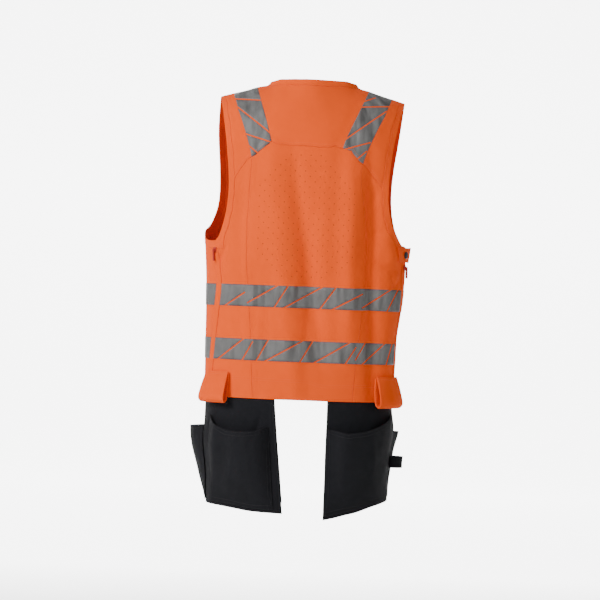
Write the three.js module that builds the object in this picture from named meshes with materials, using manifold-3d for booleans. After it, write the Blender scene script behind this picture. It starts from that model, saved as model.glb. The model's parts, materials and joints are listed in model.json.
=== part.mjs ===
// A high-visibility tool vest: cloth panels, reflective tapes, side zips, tool loops and hanging holsters.
// Millimetres. +X is the wearer's left, -Y the front and +Z up. The origin is level with the points
// where the shoulder seams meet the neck, in the middle between them.
import * as THREE from 'three';
import Module from 'manifold-3d';
import { mergeVertices } from 'three/addons/utils/BufferGeometryUtils.js';

const wasm = await Module();
wasm.setup();

// Overall sizes of the body
const BODY_LENGTH = 652;
const HALF_WIDTH = 208;
const BACK_DEPTH = 115;
const FRONT_DEPTH = 125;
const ROUNDNESS = 2.4;
const SHOULDER_HALF = 193;
const SHOULDER_FALL = 26;
const SHOULDER_ROLL = 120;
const NECK_HALF = 103;
const BACK_NECK_DROP = 6;
const FRONT_NECK_DROP = 95;
const ARMHOLE_DROP = 330;
const YOKE_DROP = 129;

// Cloth, bands and tapes
const CLOTH = 1.8;
const BAND_CLOTH = 2.4;
const TAPE_CLOTH = 0.9;
const SEAM_INSET = 0.2;
const LAP_GAP = 0.4;
const NECKBAND_HEIGHT = 11;
const ARMHOLE_BAND = 12;
const PLACKET_WIDTH = 12;
const HEM_FACING = 42;
const TAPE_WIDTH = 50;
const UPPER_TAPE_RISE = 235;
const LOWER_TAPE_RISE = 125;
const SHOULDER_TAPE_START = 116;
const FRONT_ZIP_WIDTH = 9;

// Tool loops, holsters and their bags
const LOOP_RISE = 52;
const LOOP_LENGTH = 62;
const LOOP_STAND = 17;
const LOOP_CLOTH = 2;
const HOLSTER_LENGTH = 233;
const HOLSTER_CLOTH = 1.8;
const BAG_CLOTH = 1.6;
const BACK_BAG_STAND = 26;
const SIDE_BAG_STANDS = { left: 42, right: 26 };
const HAMMER_LOOP_DROP = 128;
const HAMMER_LOOP_WIDTH = 27;
const HAMMER_LOOP_STAND = 26;

// Side tab, snap and zip sliders
const TAB_LENGTH = 30;
const TAB_CLOTH = 2;
const TAB_FLARE = 9;
const SNAP_DIAMETER = 15;
const SNAP_HEIGHT = 3;
const SLIDER_WIDTH = 8;
const SLIDER_LENGTH = 11;
const SLIDER_HEIGHT = 2.6;
const PIN_DIAMETER = 1.4;
const PIN_CLEARANCE = 0.4;
const EAR_THICKNESS = 1.2;
const PULL_THICKNESS = 2.6;
const PULL_WIDTH = 4.4;
const PULL_LENGTH = 22;

// Body sections: level is a share of the body length, left and right of the half width,
// back and front of the two depths.
const BODY = [
  { level: 0.000, left: 1.06, right: 1.06, back: 0.86, front: 0.80 },
  { level: 0.153, left: 1.06, right: 1.04, back: 0.93, front: 0.88 },
  { level: 0.307, left: 1.05, right: 1.00, back: 1.00, front: 0.97 },
  { level: 0.506, left: 1.034, right: 0.976, back: 1.00, front: 1.00 },
  { level: 0.552, left: 1.02, right: 0.99, back: 0.98, front: 1.00 },
  { level: 0.660, left: 1.00, right: 0.98, back: 0.94, front: 0.98 },
  { level: 0.813, left: 0.99, right: 0.918, back: 0.93, front: 0.98 },
  { level: 0.905, left: 0.98, right: 0.916, back: 0.96, front: 1.00 },
  { level: 1.000, left: 0.976, right: 0.913, back: 1.00, front: 1.02 },
];

// Armhole edges: level is a share of the armhole drop, the rest are shares of the half width.
const ARMHOLE = [
  { level: 0.20, backLeft: 0.885, backRight: 0.870, frontLeft: 0.947, frontRight: 0.913 },
  { level: 0.34, backLeft: 0.846, backRight: 0.817, frontLeft: 0.950, frontRight: 0.889 },
  { level: 0.45, backLeft: 0.822, backRight: 0.793, frontLeft: 0.928, frontRight: 0.861 },
  { level: 0.63, backLeft: 0.793, backRight: 0.769, frontLeft: 0.913, frontRight: 0.829 },
  { level: 0.78, backLeft: 0.803, backRight: 0.784, frontLeft: 0.918, frontRight: 0.837 },
  { level: 0.85, backLeft: 0.820, backRight: 0.803, frontLeft: 0.938, frontRight: 0.858 },
  { level: 0.90, backLeft: 0.837, backRight: 0.827, frontLeft: 0.985, frontRight: 0.885 },
];

// How much higher the armhole's lowest edge lies at the front seam than at the back, as shares of its drop.
const ARMHOLE_RISE = { left: 0.100, right: 0.020 };

// Side seams below the armholes: level is a share of the way from armhole to hem,
// the rest are shares of the half width at that level.
const SIDE_SEAM = [
  { level: 0.00, backLeft: 0.865, backRight: 0.955, frontLeft: 0.955, frontRight: 0.955 },
  { level: 0.12, backLeft: 0.860, backRight: 0.965, frontLeft: 0.950, frontRight: 0.950 },
  { level: 0.27, backLeft: 0.822, backRight: 0.972, frontLeft: 0.940, frontRight: 0.940 },
  { level: 0.43, backLeft: 0.855, backRight: 0.975, frontLeft: 0.930, frontRight: 0.930 },
  { level: 0.77, backLeft: 0.910, backRight: 0.975, frontLeft: 0.925, frontRight: 0.925 },
  { level: 1.00, backLeft: 0.930, backRight: 0.975, frontLeft: 0.920, frontRight: 0.920 },
];

// Yoke seam across the back: place is a share of the half width, drop a share of the yoke drop.
const YOKE = {
  centre: { left: 0.000, right: 0.000, dropLeft: 1.00, dropRight: 1.01 },
  neck: { left: 0.280, right: 0.216, dropLeft: 1.00, dropRight: 1.02 },
  inner: { left: 0.380, right: 0.290, dropLeft: 1.01, dropRight: 1.04 },
  outer: { left: 0.570, right: 0.492, dropLeft: 1.23, dropRight: 1.28 },
  band: { left: 0.735, right: 0.712, dropLeft: 1.57, dropRight: 1.65 },
  edge: { left: 0.793, right: 0.769, dropLeft: 1.65, dropRight: 1.73 },
};

// Upright lines of the back below the yoke, as shares of the half width: below the neck point,
// below the shoulder tape's inner edge, and the seam below its outer edge.
const BACK_LINES = {
  left: [
    { level: 0.322, neck: 0.279, inner: 0.376, outer: 0.600 },
    { level: 0.405, neck: 0.278, inner: 0.372, outer: 0.601 },
    { level: 0.480, neck: 0.277, inner: 0.368, outer: 0.603 },
    { level: 0.570, neck: 0.276, inner: 0.365, outer: 0.601 },
    { level: 0.645, neck: 0.276, inner: 0.362, outer: 0.572 },
    { level: 0.800, neck: 0.277, inner: 0.358, outer: 0.519 },
    { level: 1.000, neck: 0.277, inner: 0.356, outer: 0.471 },
  ],
  right: [
    { level: 0.322, neck: 0.221, inner: 0.298, outer: 0.495 },
    { level: 0.405, neck: 0.226, inner: 0.306, outer: 0.553 },
    { level: 0.480, neck: 0.230, inner: 0.315, outer: 0.587 },
    { level: 0.570, neck: 0.234, inner: 0.324, outer: 0.584 },
    { level: 0.645, neck: 0.238, inner: 0.332, outer: 0.577 },
    { level: 0.800, neck: 0.244, inner: 0.345, outer: 0.524 },
    { level: 1.000, neck: 0.250, inner: 0.356, outer: 0.481 },
  ],
};

// Upright lines of the front: the outer edge of the shoulder tape and the line below the neck point.
const FRONT_LINES = [
  { level: 0.23, neck: 0.385, outer: 0.721 },
  { level: 0.37, neck: 0.298, outer: 0.683 },
  { level: 0.64, neck: 0.288, outer: 0.673 },
  { level: 1.00, neck: 0.288, outer: 0.673 },
];

// Folds of the back: middle and width are shares of the half width, top and bottom of the body length,
// and depth of the back depth. A negative depth goes in.
const FOLDS = [
  { middle: -0.66, width: 0.055, top: 0.24, bottom: 0.62, depth: -0.075 },
  { middle: -0.04, width: 0.070, top: 0.22, bottom: 1.05, depth: -0.035 },
  { middle: 0.66, width: 0.080, top: 0.30, bottom: 0.62, depth: -0.030 },
  { middle: 0.30, width: 0.090, top: 0.60, bottom: 1.05, depth: 0.030 },
  { middle: -0.78, width: 0.090, top: 0.56, bottom: 0.63, depth: -0.060 },
];

// The lower edge of a holster: reach is a share of the half width, left and right of the holster length.
const HOLSTER_EDGE = [
  { reach: 0.28, left: 1.000, right: 1.043 },
  { reach: 0.50, left: 0.995, right: 0.987 },
  { reach: 0.65, left: 0.990, right: 0.961 },
  { reach: 0.74, left: 0.967, right: 0.918 },
  { reach: 0.95, left: 0.957, right: 0.880 },
];

// How far a holster's edges swing towards the middle by its lower edge, as shares of the half width.
const HOLSTER_SWING = { left: { inner: 0.155, outer: 0.040 }, right: { inner: -0.005, outer: 0.020 } };
const HOLSTER_CLOSING = 0.06;

// Bag mouths: along is a share of the bag's width from the outer edge, the rest are shares of
// the holster length below the hem.
const BACK_MOUTH = [
  { along: 0.00, left: 0.170, right: 0.110 },
  { along: 0.30, left: 0.296, right: 0.250 },
  { along: 0.65, left: 0.270, right: 0.270 },
  { along: 1.00, left: 0.240, right: 0.230 },
];
const SIDE_MOUTH = [
  { along: 0.00, left: 0.270, right: 0.300 },
  { along: 0.50, left: 0.330, right: 0.330 },
  { along: 1.00, left: 0.270, right: 0.270 },
];
const BAG_FOOT = 0.97;

// The tool loop's path: out is a share of its stand, down a share of its length.
const LOOP_PATH = [
  { out: 0.055, down: 0.00 },
  { out: 0.42, down: 0.26 },
  { out: 0.76, down: 0.58 },
  { out: 1.00, down: 0.84 },
  { out: 0.95, down: 0.95 },
  { out: 0.68, down: 1.00 },
  { out: 0.38, down: 0.96 },
  { out: 0.20, down: 0.84 },
  { out: 0.10, down: 0.62 },
  { out: 0.022, down: 0.34 },
  { out: 0.022, down: 0.05 },
];

// The hammer loop's path across the holster: along and out are shares of its stand.
const HAMMER_PATH = [
  { along: -0.10, out: 0.00 },
  { along: -0.40, out: -0.01 },
  { along: -0.50, out: 0.25 },
  { along: -0.45, out: 0.62 },
  { along: -0.25, out: 0.92 },
  { along: 0.00, out: 1.00 },
  { along: 0.25, out: 0.92 },
  { along: 0.45, out: 0.62 },
  { along: 0.50, out: 0.25 },
  { along: 0.40, out: -0.01 },
  { along: 0.10, out: 0.00 },
];

const SIDES = [{ name: 'left', sign: 1 }, { name: 'right', sign: -1 }];
const STATIONS = ['centre', 'neck', 'inner', 'outer', 'band', 'edge'];
const DIVISIONS = [4, 1, 3, 3, 1];
const SIDE_COLUMNS = 6;
const RISE_ROWS = 8;
const YOKE_ROWS = 4;

const mix = THREE.MathUtils.lerp;
const suffix = (side) => (side.sign > 0 ? 'Left' : 'Right');

// Reads a column of a table at a place between its rows.
function read(table, place, column, key = 'level') {
  let low = table[0];
  for (const high of table) {
    if (place <= high[key]) {
      if (high === low) return high[column];
      return mix(low[column], high[column], (place - low[key]) / (high[key] - low[key]));
    }
    low = high;
  }
  return low[column];
}

// The levels that all panels share below the armholes, from the hem upwards.
const LEVELS = [
  -BODY_LENGTH,
  -BODY_LENGTH + HEM_FACING,
  -BODY_LENGTH + LOWER_TAPE_RISE - TAPE_WIDTH,
  -BODY_LENGTH + LOWER_TAPE_RISE,
  -BODY_LENGTH + (LOWER_TAPE_RISE + UPPER_TAPE_RISE - TAPE_WIDTH) / 2,
  -BODY_LENGTH + UPPER_TAPE_RISE - TAPE_WIDTH,
  -BODY_LENGTH + UPPER_TAPE_RISE,
  -(BODY_LENGTH - UPPER_TAPE_RISE + ARMHOLE_DROP + ARMHOLE_BAND) / 2,
  -ARMHOLE_DROP - ARMHOLE_BAND,
  -ARMHOLE_DROP,
];
const ROW = { hem: 0, facing: 1, lowerTape: 2, upperTape: 5, upperTapeTop: 6, bandFoot: 8, armhole: 9 };
const TOP_ROW = ROW.armhole + RISE_ROWS;
const YOKE_ROW = TOP_ROW - YOKE_ROWS;

// Columns of half a sheet, each between two stations.
const COLUMNS = [{ station: 0, share: 0 }];
const COLUMN = { centre: 0 };
DIVISIONS.forEach((count, station) => {
  for (let step = 1; step <= count; step += 1) COLUMNS.push({ station, share: step / count });
  COLUMN[STATIONS[station + 1]] = COLUMNS.length - 1;
});

const halfWidth = (side, z) => HALF_WIDTH * read(BODY, -z / BODY_LENGTH, side.name);
const halfDepth = (face, z) => (
  (face === 'back' ? BACK_DEPTH : FRONT_DEPTH) * read(BODY, -z / BODY_LENGTH, face)
);

// The shoulder line falls straight from the neck to the tip.
function shoulderLine(x) {
  return (NECK_HALF - Math.abs(x)) * SHOULDER_FALL / (SHOULDER_HALF - NECK_HALF);
}

// The way down a sheet from the shoulder line, along its rounded top, and back again.
function wayFromDrop(drop) {
  if (drop < SHOULDER_ROLL) return SHOULDER_ROLL * Math.acos(1 - drop / SHOULDER_ROLL);
  return drop + SHOULDER_ROLL * (Math.PI / 2 - 1);
}
function dropFromWay(way) {
  const quarter = SHOULDER_ROLL * Math.PI / 2;
  if (way < quarter) return SHOULDER_ROLL * (1 - Math.cos(way / SHOULDER_ROLL));
  return way - quarter + SHOULDER_ROLL;
}

// How far the folds push the back in or out.
function foldAt(x, z) {
  let push = 0;
  for (const fold of FOLDS) {
    const across = (x / HALF_WIDTH - fold.middle) / fold.width;
    const middle = (fold.top + fold.bottom) / 2;
    const down = (-z / BODY_LENGTH - middle) / ((fold.bottom - fold.top) / 2);
    if (Math.abs(down) < 1) push += fold.depth * Math.exp(-across * across) * (1 - down * down);
  }
  return push * BACK_DEPTH;
}

// A point of the back or front sheet.
function sheetPoint(face, side, x, z) {
  const share = Math.min(1, Math.abs(x) / halfWidth(side, z));
  const drop = Math.max(0, shoulderLine(x) - z);
  const roll = drop < SHOULDER_ROLL ? Math.sqrt(1 - (1 - drop / SHOULDER_ROLL) ** 2) : 1;
  const depth = halfDepth(face, z) * (1 - share ** ROUNDNESS) ** (1 / ROUNDNESS) * roll;
  const signedX = side.sign * Math.abs(x);
  return new THREE.Vector3(signedX, face === 'back' ? depth + foldAt(signedX, z) : -depth, z);
}

// The armhole's edge, and the side seam below it.
function edgeX(face, side, z) {
  const column = face + suffix(side);
  const seamX = (level) => {
    const share = (-level - ARMHOLE_DROP) / (BODY_LENGTH - ARMHOLE_DROP);
    return halfWidth(side, level) * read(SIDE_SEAM, share, column);
  };
  if (z <= -ARMHOLE_DROP) return seamX(z);
  const tip = { level: SHOULDER_FALL / ARMHOLE_DROP, x: SHOULDER_HALF };
  const rows = ARMHOLE.map((row) => ({ level: row.level, x: row[column] * HALF_WIDTH }));
  return read([tip, ...rows, { level: 1, x: seamX(-ARMHOLE_DROP) }], -z / ARMHOLE_DROP, 'x');
}

// Where each station lies on the shoulder line, and the whole line of a station down the sheet.
const TAPE_SPAN = TAPE_WIDTH * Math.hypot(1, SHOULDER_FALL / (SHOULDER_HALF - NECK_HALF));
const SHOULDER_X = {
  centre: 0,
  neck: NECK_HALF,
  inner: SHOULDER_TAPE_START,
  outer: SHOULDER_TAPE_START + TAPE_SPAN,
  band: SHOULDER_HALF - ARMHOLE_BAND,
  edge: SHOULDER_HALF,
};
function stationX(face, side, station, z) {
  if (station === 'centre') return face === 'front' ? FRONT_ZIP_WIDTH / 2 : 0;
  if (station === 'edge') return edgeX(face, side, z);
  if (station === 'band') return edgeX(face, side, z) - ARMHOLE_BAND;
  const start = { level: -shoulderLine(SHOULDER_X[station]) / BODY_LENGTH, x: SHOULDER_X[station] };
  let rows;
  if (face === 'back') {
    const seam = YOKE[station];
    const drop = YOKE_DROP * seam[`drop${suffix(side)}`] / BODY_LENGTH;
    rows = [{ level: drop, x: seam[side.name] * HALF_WIDTH }];
    for (const row of BACK_LINES[side.name]) {
      if (row.level > drop) rows.push({ level: row.level, x: row[station] * HALF_WIDTH });
    }
  } else {
    rows = FRONT_LINES.map((row) => {
      const outer = row.outer * HALF_WIDTH;
      const places = { neck: row.neck * HALF_WIDTH, inner: outer - TAPE_WIDTH, outer };
      return { level: row.level, x: places[station] };
    });
  }
  return read([start, ...rows], -z / BODY_LENGTH, 'x');
}

// The height of a row at a column: the rows along the armhole's lower edge climb towards the front seam.
function levelAt(face, side, column, row) {
  if (row < ROW.bandFoot || face === 'back') return LEVELS[row];
  const edge = face === 'side' ? (column - 2) / (SIDE_COLUMNS - 2) : 1;
  const fade = face === 'side' ? 1 : (column - COLUMN.outer) / (COLUMN.band - COLUMN.outer);
  const rise = THREE.MathUtils.smoothstep(edge, 0, 1) * THREE.MathUtils.clamp(fade, 0, 1);
  return LEVELS[row] + ARMHOLE_DROP * ARMHOLE_RISE[side.name] * rise;
}

// A value of a column between the values of its two stations.
function between(column, value) {
  const { station, share } = COLUMNS[column];
  return mix(value(STATIONS[station]), value(STATIONS[station + 1]), share);
}

// The top of a column: the neckline near the middle and the shoulder line outside it.
function topPlace(face, column) {
  const x = between(column, (station) => (
    station === 'centre' && face === 'front' ? FRONT_ZIP_WIDTH / 2 : SHOULDER_X[station]
  ));
  if (column >= COLUMN.neck) return { x, z: shoulderLine(x) };
  const share = x / NECK_HALF;
  const z = face === 'back' ? -BACK_NECK_DROP * (1 - share ** 6) : -FRONT_NECK_DROP * (1 - share ** 1.6);
  return { x, z };
}

// The place of a column between two rows of known height.
function risePlace(face, side, column, low, high, share) {
  const lowWay = wayFromDrop(shoulderLine(low.x) - low.z);
  const highWay = wayFromDrop(shoulderLine(high.x) - high.z);
  const drop = dropFromWay(mix(lowWay, highWay, share));
  const guess = shoulderLine(mix(low.x, high.x, share)) - drop;
  const x = between(column, (station) => stationX(face, side, station, guess));
  return { x, z: shoulderLine(x) - drop };
}

function sheetPlace(face, side, column, row) {
  const across = (z) => between(column, (station) => stationX(face, side, station, z));
  const level = levelAt(face, side, column, Math.min(row, ROW.armhole));
  if (row <= ROW.armhole) return { x: across(level), z: level };
  const top = topPlace(face, column);
  if (row === TOP_ROW) return top;
  const foot = { x: across(level), z: level };
  if (face === 'front') return risePlace(face, side, column, foot, top, (row - ROW.armhole) / RISE_ROWS);
  const seamZ = -YOKE_DROP * between(column, (station) => YOKE[station][`drop${suffix(side)}`]);
  const seam = { x: across(seamZ), z: seamZ };
  if (row === YOKE_ROW) return seam;
  if (row < YOKE_ROW) {
    return risePlace(face, side, column, foot, seam, (row - ROW.armhole) / (YOKE_ROW - ROW.armhole));
  }
  return risePlace(face, side, column, seam, top, (row - YOKE_ROW) / YOKE_ROWS);
}

// A point of the side panel, which goes round from the back seam to the front seam.
function sidePoint(side, column, row) {
  const z = levelAt('side', side, column, row);
  const width = halfWidth(side, z);
  const angleOf = (x) => Math.acos(Math.min(1, x / width) ** (ROUNDNESS / 2));
  const at = (angle) => {
    const depth = halfDepth(angle > 0 ? 'back' : 'front', z);
    const y = Math.sign(angle) * depth * Math.abs(Math.sin(angle)) ** (2 / ROUNDNESS);
    return new THREE.Vector3(side.sign * width * Math.cos(angle) ** (2 / ROUNDNESS), y, z);
  };
  const back = angleOf(edgeX('back', side, z));
  const front = -angleOf(edgeX('front', side, z));
  const step = 0.01;
  const placket = back - PLACKET_WIDTH * step / at(back).distanceTo(at(back - step));
  return at(mix(placket, front, (column - 1) / (SIDE_COLUMNS - 1)));
}

// A net of cloth: named points, four-cornered cells facing out, and a normal at each point.
class Net {
  constructor() {
    this.points = new Map();
    this.cells = [];
    this.normals = new Map();
  }

  // Adds a cell, turned so that it faces the way given.
  addCell(ids, facing, tags = {}) {
    const [a, b, c, d] = ids.map((id) => this.points.get(id));
    const normal = new THREE.Vector3().crossVectors(c.clone().sub(a), d.clone().sub(b));
    const turned = normal.dot(facing) < 0;
    if (turned) normal.negate();
    const ordered = turned ? [ids[0], ids[3], ids[2], ids[1]] : ids;
    this.cells.push({ ids: ordered, normal, short: a.distanceTo(c) <= b.distanceTo(d), ...tags });
  }

  // Averages the faces round each point.
  finish() {
    for (const id of this.points.keys()) this.normals.set(id, new THREE.Vector3());
    for (const cell of this.cells) {
      for (const id of cell.ids) this.normals.get(id).add(cell.normal);
    }
    for (const normal of this.normals.values()) normal.normalize();
    return this;
  }
}

// The solid between two offsets of some cells, drawn in a little along its edge.
function clothSolid(net, cells, inner, outer, inset = SEAM_INSET) {
  const directed = new Map();
  for (const cell of cells) {
    cell.ids.forEach((id, k) => directed.set(`${id}>${cell.ids[(k + 1) % 4]}`, [id, cell.ids[(k + 1) % 4]]));
  }
  const rim = [...directed.values()].filter(([a, b]) => !directed.has(`${b}>${a}`));
  const away = new Map();
  for (const [a, b] of rim) {
    for (const id of [a, b]) {
      const along = net.points.get(b).clone().sub(net.points.get(a)).normalize();
      const side = along.cross(net.normals.get(id)).normalize();
      away.set(id, [...(away.get(id) ?? []), side]);
    }
  }
  const index = new Map();
  const positions = [];
  const corner = (id) => {
    if (index.has(id)) return index.get(id);
    const place = net.points.get(id).clone();
    if (away.has(id)) {
      const [first, second] = away.get(id);
      const mitre = first.clone().add(second).divideScalar(Math.max(0.4, 1 + first.dot(second)));
      place.addScaledVector(mitre, -inset);
    }
    const normal = net.normals.get(id);
    positions.push(...place.clone().addScaledVector(normal, outer).toArray());
    positions.push(...place.clone().addScaledVector(normal, inner).toArray());
    index.set(id, index.size);
    return index.get(id);
  };
  const faces = [];
  for (const cell of cells) {
    const [a, b, c, d] = cell.ids.map(corner);
    const halves = cell.short ? [[a, b, c], [a, c, d]] : [[a, b, d], [b, c, d]];
    for (const [p, q, r] of halves) faces.push(2 * p, 2 * q, 2 * r, 2 * p + 1, 2 * r + 1, 2 * q + 1);
  }
  for (const [from, to] of rim) {
    const [a, b] = [corner(from), corner(to)];
    faces.push(2 * a, 2 * a + 1, 2 * b + 1, 2 * a, 2 * b + 1, 2 * b);
  }
  const geometry = new THREE.BufferGeometry();
  geometry.setAttribute('position', new THREE.Float32BufferAttribute(positions, 3));
  geometry.setIndex(faces);
  return geometry;
}

// The skin is the inner face of all the vest's cloth above the hem.
function pointId(face, side, column, row) {
  if (face === 'side' && column === 0) return pointId('back', side, COLUMN.edge, row);
  if (face === 'side' && column === SIDE_COLUMNS) return pointId('front', side, COLUMN.edge, row);
  if (face === 'front' && row === TOP_ROW && column >= COLUMN.neck) return pointId('back', side, column, row);
  if (face === 'back' && column === COLUMN.centre) return `back middle ${row}`;
  return `${face} ${side.name} ${column} ${row}`;
}

function addGrid(net, face, side, columns, rows) {
  for (let row = 0; row < rows; row += 1) {
    for (let column = 0; column < columns; column += 1) {
      const ids = [[0, 0], [1, 0], [1, 1], [0, 1]].map(([c, r]) => pointId(face, side, column + c, row + r));
      const middle = new THREE.Vector3();
      for (const id of ids) middle.add(net.points.get(id));
      net.addCell(ids, middle.setZ(0), { face, side: side.name, column, row });
    }
  }
}

function makeSkin() {
  const net = new Net();
  for (const side of SIDES) {
    for (const face of ['back', 'front']) {
      for (let row = 0; row <= TOP_ROW; row += 1) {
        COLUMNS.forEach((_, column) => {
          const { x, z } = sheetPlace(face, side, column, row);
          net.points.set(pointId(face, side, column, row), sheetPoint(face, side, x, z));
        });
      }
    }
    for (let row = 0; row <= ROW.armhole; row += 1) {
      for (let column = 1; column < SIDE_COLUMNS; column += 1) {
        net.points.set(pointId('side', side, column, row), sidePoint(side, column, row));
      }
    }
  }
  for (const side of SIDES) {
    addGrid(net, 'back', side, COLUMN.edge, TOP_ROW);
    addGrid(net, 'front', side, COLUMN.edge, TOP_ROW);
    addGrid(net, 'side', side, SIDE_COLUMNS, ROW.armhole);
  }
  const [left, right] = SIDES;
  for (let row = 0; row < TOP_ROW; row += 1) {
    const ids = [pointId('front', left, 0, row), pointId('front', right, 0, row)];
    ids.push(pointId('front', right, 0, row + 1), pointId('front', left, 0, row + 1));
    net.addCell(ids, new THREE.Vector3(0, -1, 0), { face: 'zip', side: 'middle', column: 0, row });
  }
  addNeckband(net);
  return net.finish();
}

// The neckband stands up from the neckline and leans in.
function addNeckband(net) {
  const topLine = (face, side) => {
    const ids = [];
    for (let column = 0; column <= COLUMN.neck; column += 1) ids.push(pointId(face, side, column, TOP_ROW));
    return ids;
  };
  const [left, right] = SIDES;
  const line = [
    ...topLine('front', left),
    ...topLine('back', left).reverse().slice(1),
    ...topLine('back', right).slice(1),
    ...topLine('front', right).reverse().slice(1),
  ];
  const at = (k) => net.points.get(line[THREE.MathUtils.clamp(k, 0, line.length - 1)]);
  line.forEach((id, k) => {
    const along = at(k + 1).clone().sub(at(k - 1)).normalize();
    const inward = at(k).clone().setZ(0).negate().normalize();
    const rise = new THREE.Vector3(0, 0, 1).addScaledVector(inward, 0.45);
    rise.addScaledVector(along, -rise.dot(along)).normalize();
    net.points.set(`band ${k}`, at(k).clone().addScaledVector(rise, NECKBAND_HEIGHT));
  });
  for (let k = 0; k + 1 < line.length; k += 1) {
    const ids = [line[k], line[k + 1], `band ${k + 1}`, `band ${k}`];
    const facing = at(k).clone().add(at(k + 1)).setZ(0);
    net.addCell(ids, facing, { face: 'neckband', side: 'middle', column: k, row: 0 });
  }
}

const skin = makeSkin();
const group = new THREE.Group();

const MATERIALS = {
  fabric: { color: 0xe06a3e, roughness: 0.85, metalness: 0 },
  tape: { color: 0x72706f, roughness: 0.45, metalness: 0.1 },
  holster: { color: 0x252628, roughness: 0.9, metalness: 0 },
  zip: { color: 0xb0402a, roughness: 0.6, metalness: 0 },
  metal: { color: 0x3a3a3c, roughness: 0.35, metalness: 0.9 },
};

function addMesh(name, geometry, material, parent = group) {
  const mesh = new THREE.Mesh(geometry, new THREE.MeshStandardMaterial(MATERIALS[material]));
  mesh.name = name;
  parent.add(mesh);
  return mesh;
}

const inRows = (cell, low, high) => cell.row >= low && cell.row < high;
const inColumns = (cell, low, high) => cell.column >= COLUMN[low] && cell.column < COLUMN[high];
const isBand = (cell) => (
  (cell.face === 'side' && cell.row === ROW.bandFoot)
  || (['back', 'front'].includes(cell.face) && cell.column === COLUMN.band && cell.row >= ROW.bandFoot)
);
const isPlacket = (cell) => cell.face === 'side' && cell.column === 0 && !isBand(cell);

function addPanel(name, pick, thickness = CLOTH, material = 'fabric') {
  addMesh(name, clothSolid(skin, skin.cells.filter(pick), 0, thickness), material);
}

function addPanels() {
  addPanel('back_yoke', (cell) => cell.face === 'back' && cell.row >= YOKE_ROW && !isBand(cell));
  addPanel('back_panel', (cell) => (
    cell.face === 'back' && cell.row < YOKE_ROW && inColumns(cell, 'centre', 'outer')
  ));
  for (const side of SIDES) {
    const here = (cell, face) => cell.face === face && cell.side === side.name && !isBand(cell);
    addPanel(`back_side_${side.name}`, (cell) => (
      here(cell, 'back') && cell.row < YOKE_ROW && cell.column >= COLUMN.outer
    ));
    addPanel(`side_panel_${side.name}`, (cell) => here(cell, 'side') && !isPlacket(cell));
    addPanel(`front_${side.name}`, (cell) => here(cell, 'front'));
    addPanel(`side_placket_${side.name}`, (cell) => here(cell, 'side') && isPlacket(cell), BAND_CLOTH);
    addPanel(`armhole_band_${side.name}`, (cell) => cell.side === side.name && isBand(cell), BAND_CLOTH);
  }
  addPanel('neckband', (cell) => cell.face === 'neckband', BAND_CLOTH);
  addPanel('front_zip', (cell) => cell.face === 'zip', BAND_CLOTH, 'zip');
}

function addTape(name, pick) {
  const foot = CLOTH + LAP_GAP;
  addMesh(name, clothSolid(skin, skin.cells.filter(pick), foot, foot + TAPE_CLOTH), 'tape');
}

function addTapes() {
  for (const [name, row] of [['upper', ROW.upperTape], ['lower', ROW.lowerTape]]) {
    addTape(`${name}_tape_back`, (cell) => cell.face === 'back' && cell.row === row);
    for (const side of SIDES) {
      addTape(`${name}_tape_${side.name}`, (cell) => (
        cell.side === side.name && cell.row === row && cell.face !== 'back' && !isPlacket(cell)
      ));
    }
  }
  for (const side of SIDES) {
    addTape(`shoulder_tape_${side.name}`, (cell) => {
      if (cell.side !== side.name || !inColumns(cell, 'inner', 'outer')) return false;
      if (cell.face === 'back') return cell.row >= YOKE_ROW;
      return cell.face === 'front' && cell.row >= ROW.upperTapeTop;
    });
  }
}

// The columns round one side, from a column of the back to a column of the front.
function roundColumns(first, last) {
  const columns = [];
  for (let column = COLUMN[first]; column <= COLUMN.edge; column += 1) columns.push(['back', column]);
  for (let column = 1; column < SIDE_COLUMNS; column += 1) columns.push(['side', column]);
  for (let column = COLUMN.edge; column >= COLUMN[last]; column -= 1) columns.push(['front', column]);
  return columns;
}

// A place on the vest at any height in a column, a distance out from its inner face.
function skinPlace(side, [face, column], z, out) {
  let row = 0;
  while (row < ROW.armhole - 1 && LEVELS[row + 1] < z) row += 1;
  const low = pointId(face, side, column, row);
  const high = pointId(face, side, column, row + 1);
  const share = (z - LEVELS[row]) / (LEVELS[row + 1] - LEVELS[row]);
  const turn = THREE.MathUtils.clamp(share, 0, 1);
  const normal = skin.normals.get(low).clone().lerp(skin.normals.get(high), turn).normalize();
  return skin.points.get(low).clone().lerp(skin.points.get(high), share).addScaledVector(normal, out);
}

// A net of its own from rows of points, each cell facing the way that facing gives.
function gridNet(rows, facing) {
  const net = new Net();
  rows.forEach((row, r) => row.forEach((point, c) => net.points.set(`${c} ${r}`, point)));
  for (let r = 0; r + 1 < rows.length; r += 1) {
    for (let c = 0; c + 1 < rows[r].length; c += 1) {
      const ids = [`${c} ${r}`, `${c + 1} ${r}`, `${c + 1} ${r + 1}`, `${c} ${r + 1}`];
      const middle = new THREE.Vector3();
      for (const id of ids) middle.add(net.points.get(id));
      net.addCell(ids, facing(middle.divideScalar(4), r, c), { row: r, column: c });
    }
  }
  return net.finish();
}

// A strap whose cells all turn the same way along its path.
function strapSolid(rows, thickness) {
  const net = new Net();
  rows.forEach((row, r) => row.forEach((point, c) => net.points.set(`${c} ${r}`, point)));
  for (let r = 0; r + 1 < rows.length; r += 1) {
    for (let c = 0; c + 1 < rows[r].length; c += 1) {
      const ids = [`${c} ${r}`, `${c + 1} ${r}`, `${c + 1} ${r + 1}`, `${c} ${r + 1}`];
      const [p, q, s] = [ids[0], ids[1], ids[3]].map((id) => net.points.get(id));
      const normal = new THREE.Vector3().crossVectors(q.clone().sub(p), s.clone().sub(p));
      net.addCell(ids, normal, { row: r, column: c });
    }
  }
  net.finish();
  return clothSolid(net, net.cells, 0, thickness, 0);
}

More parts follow.
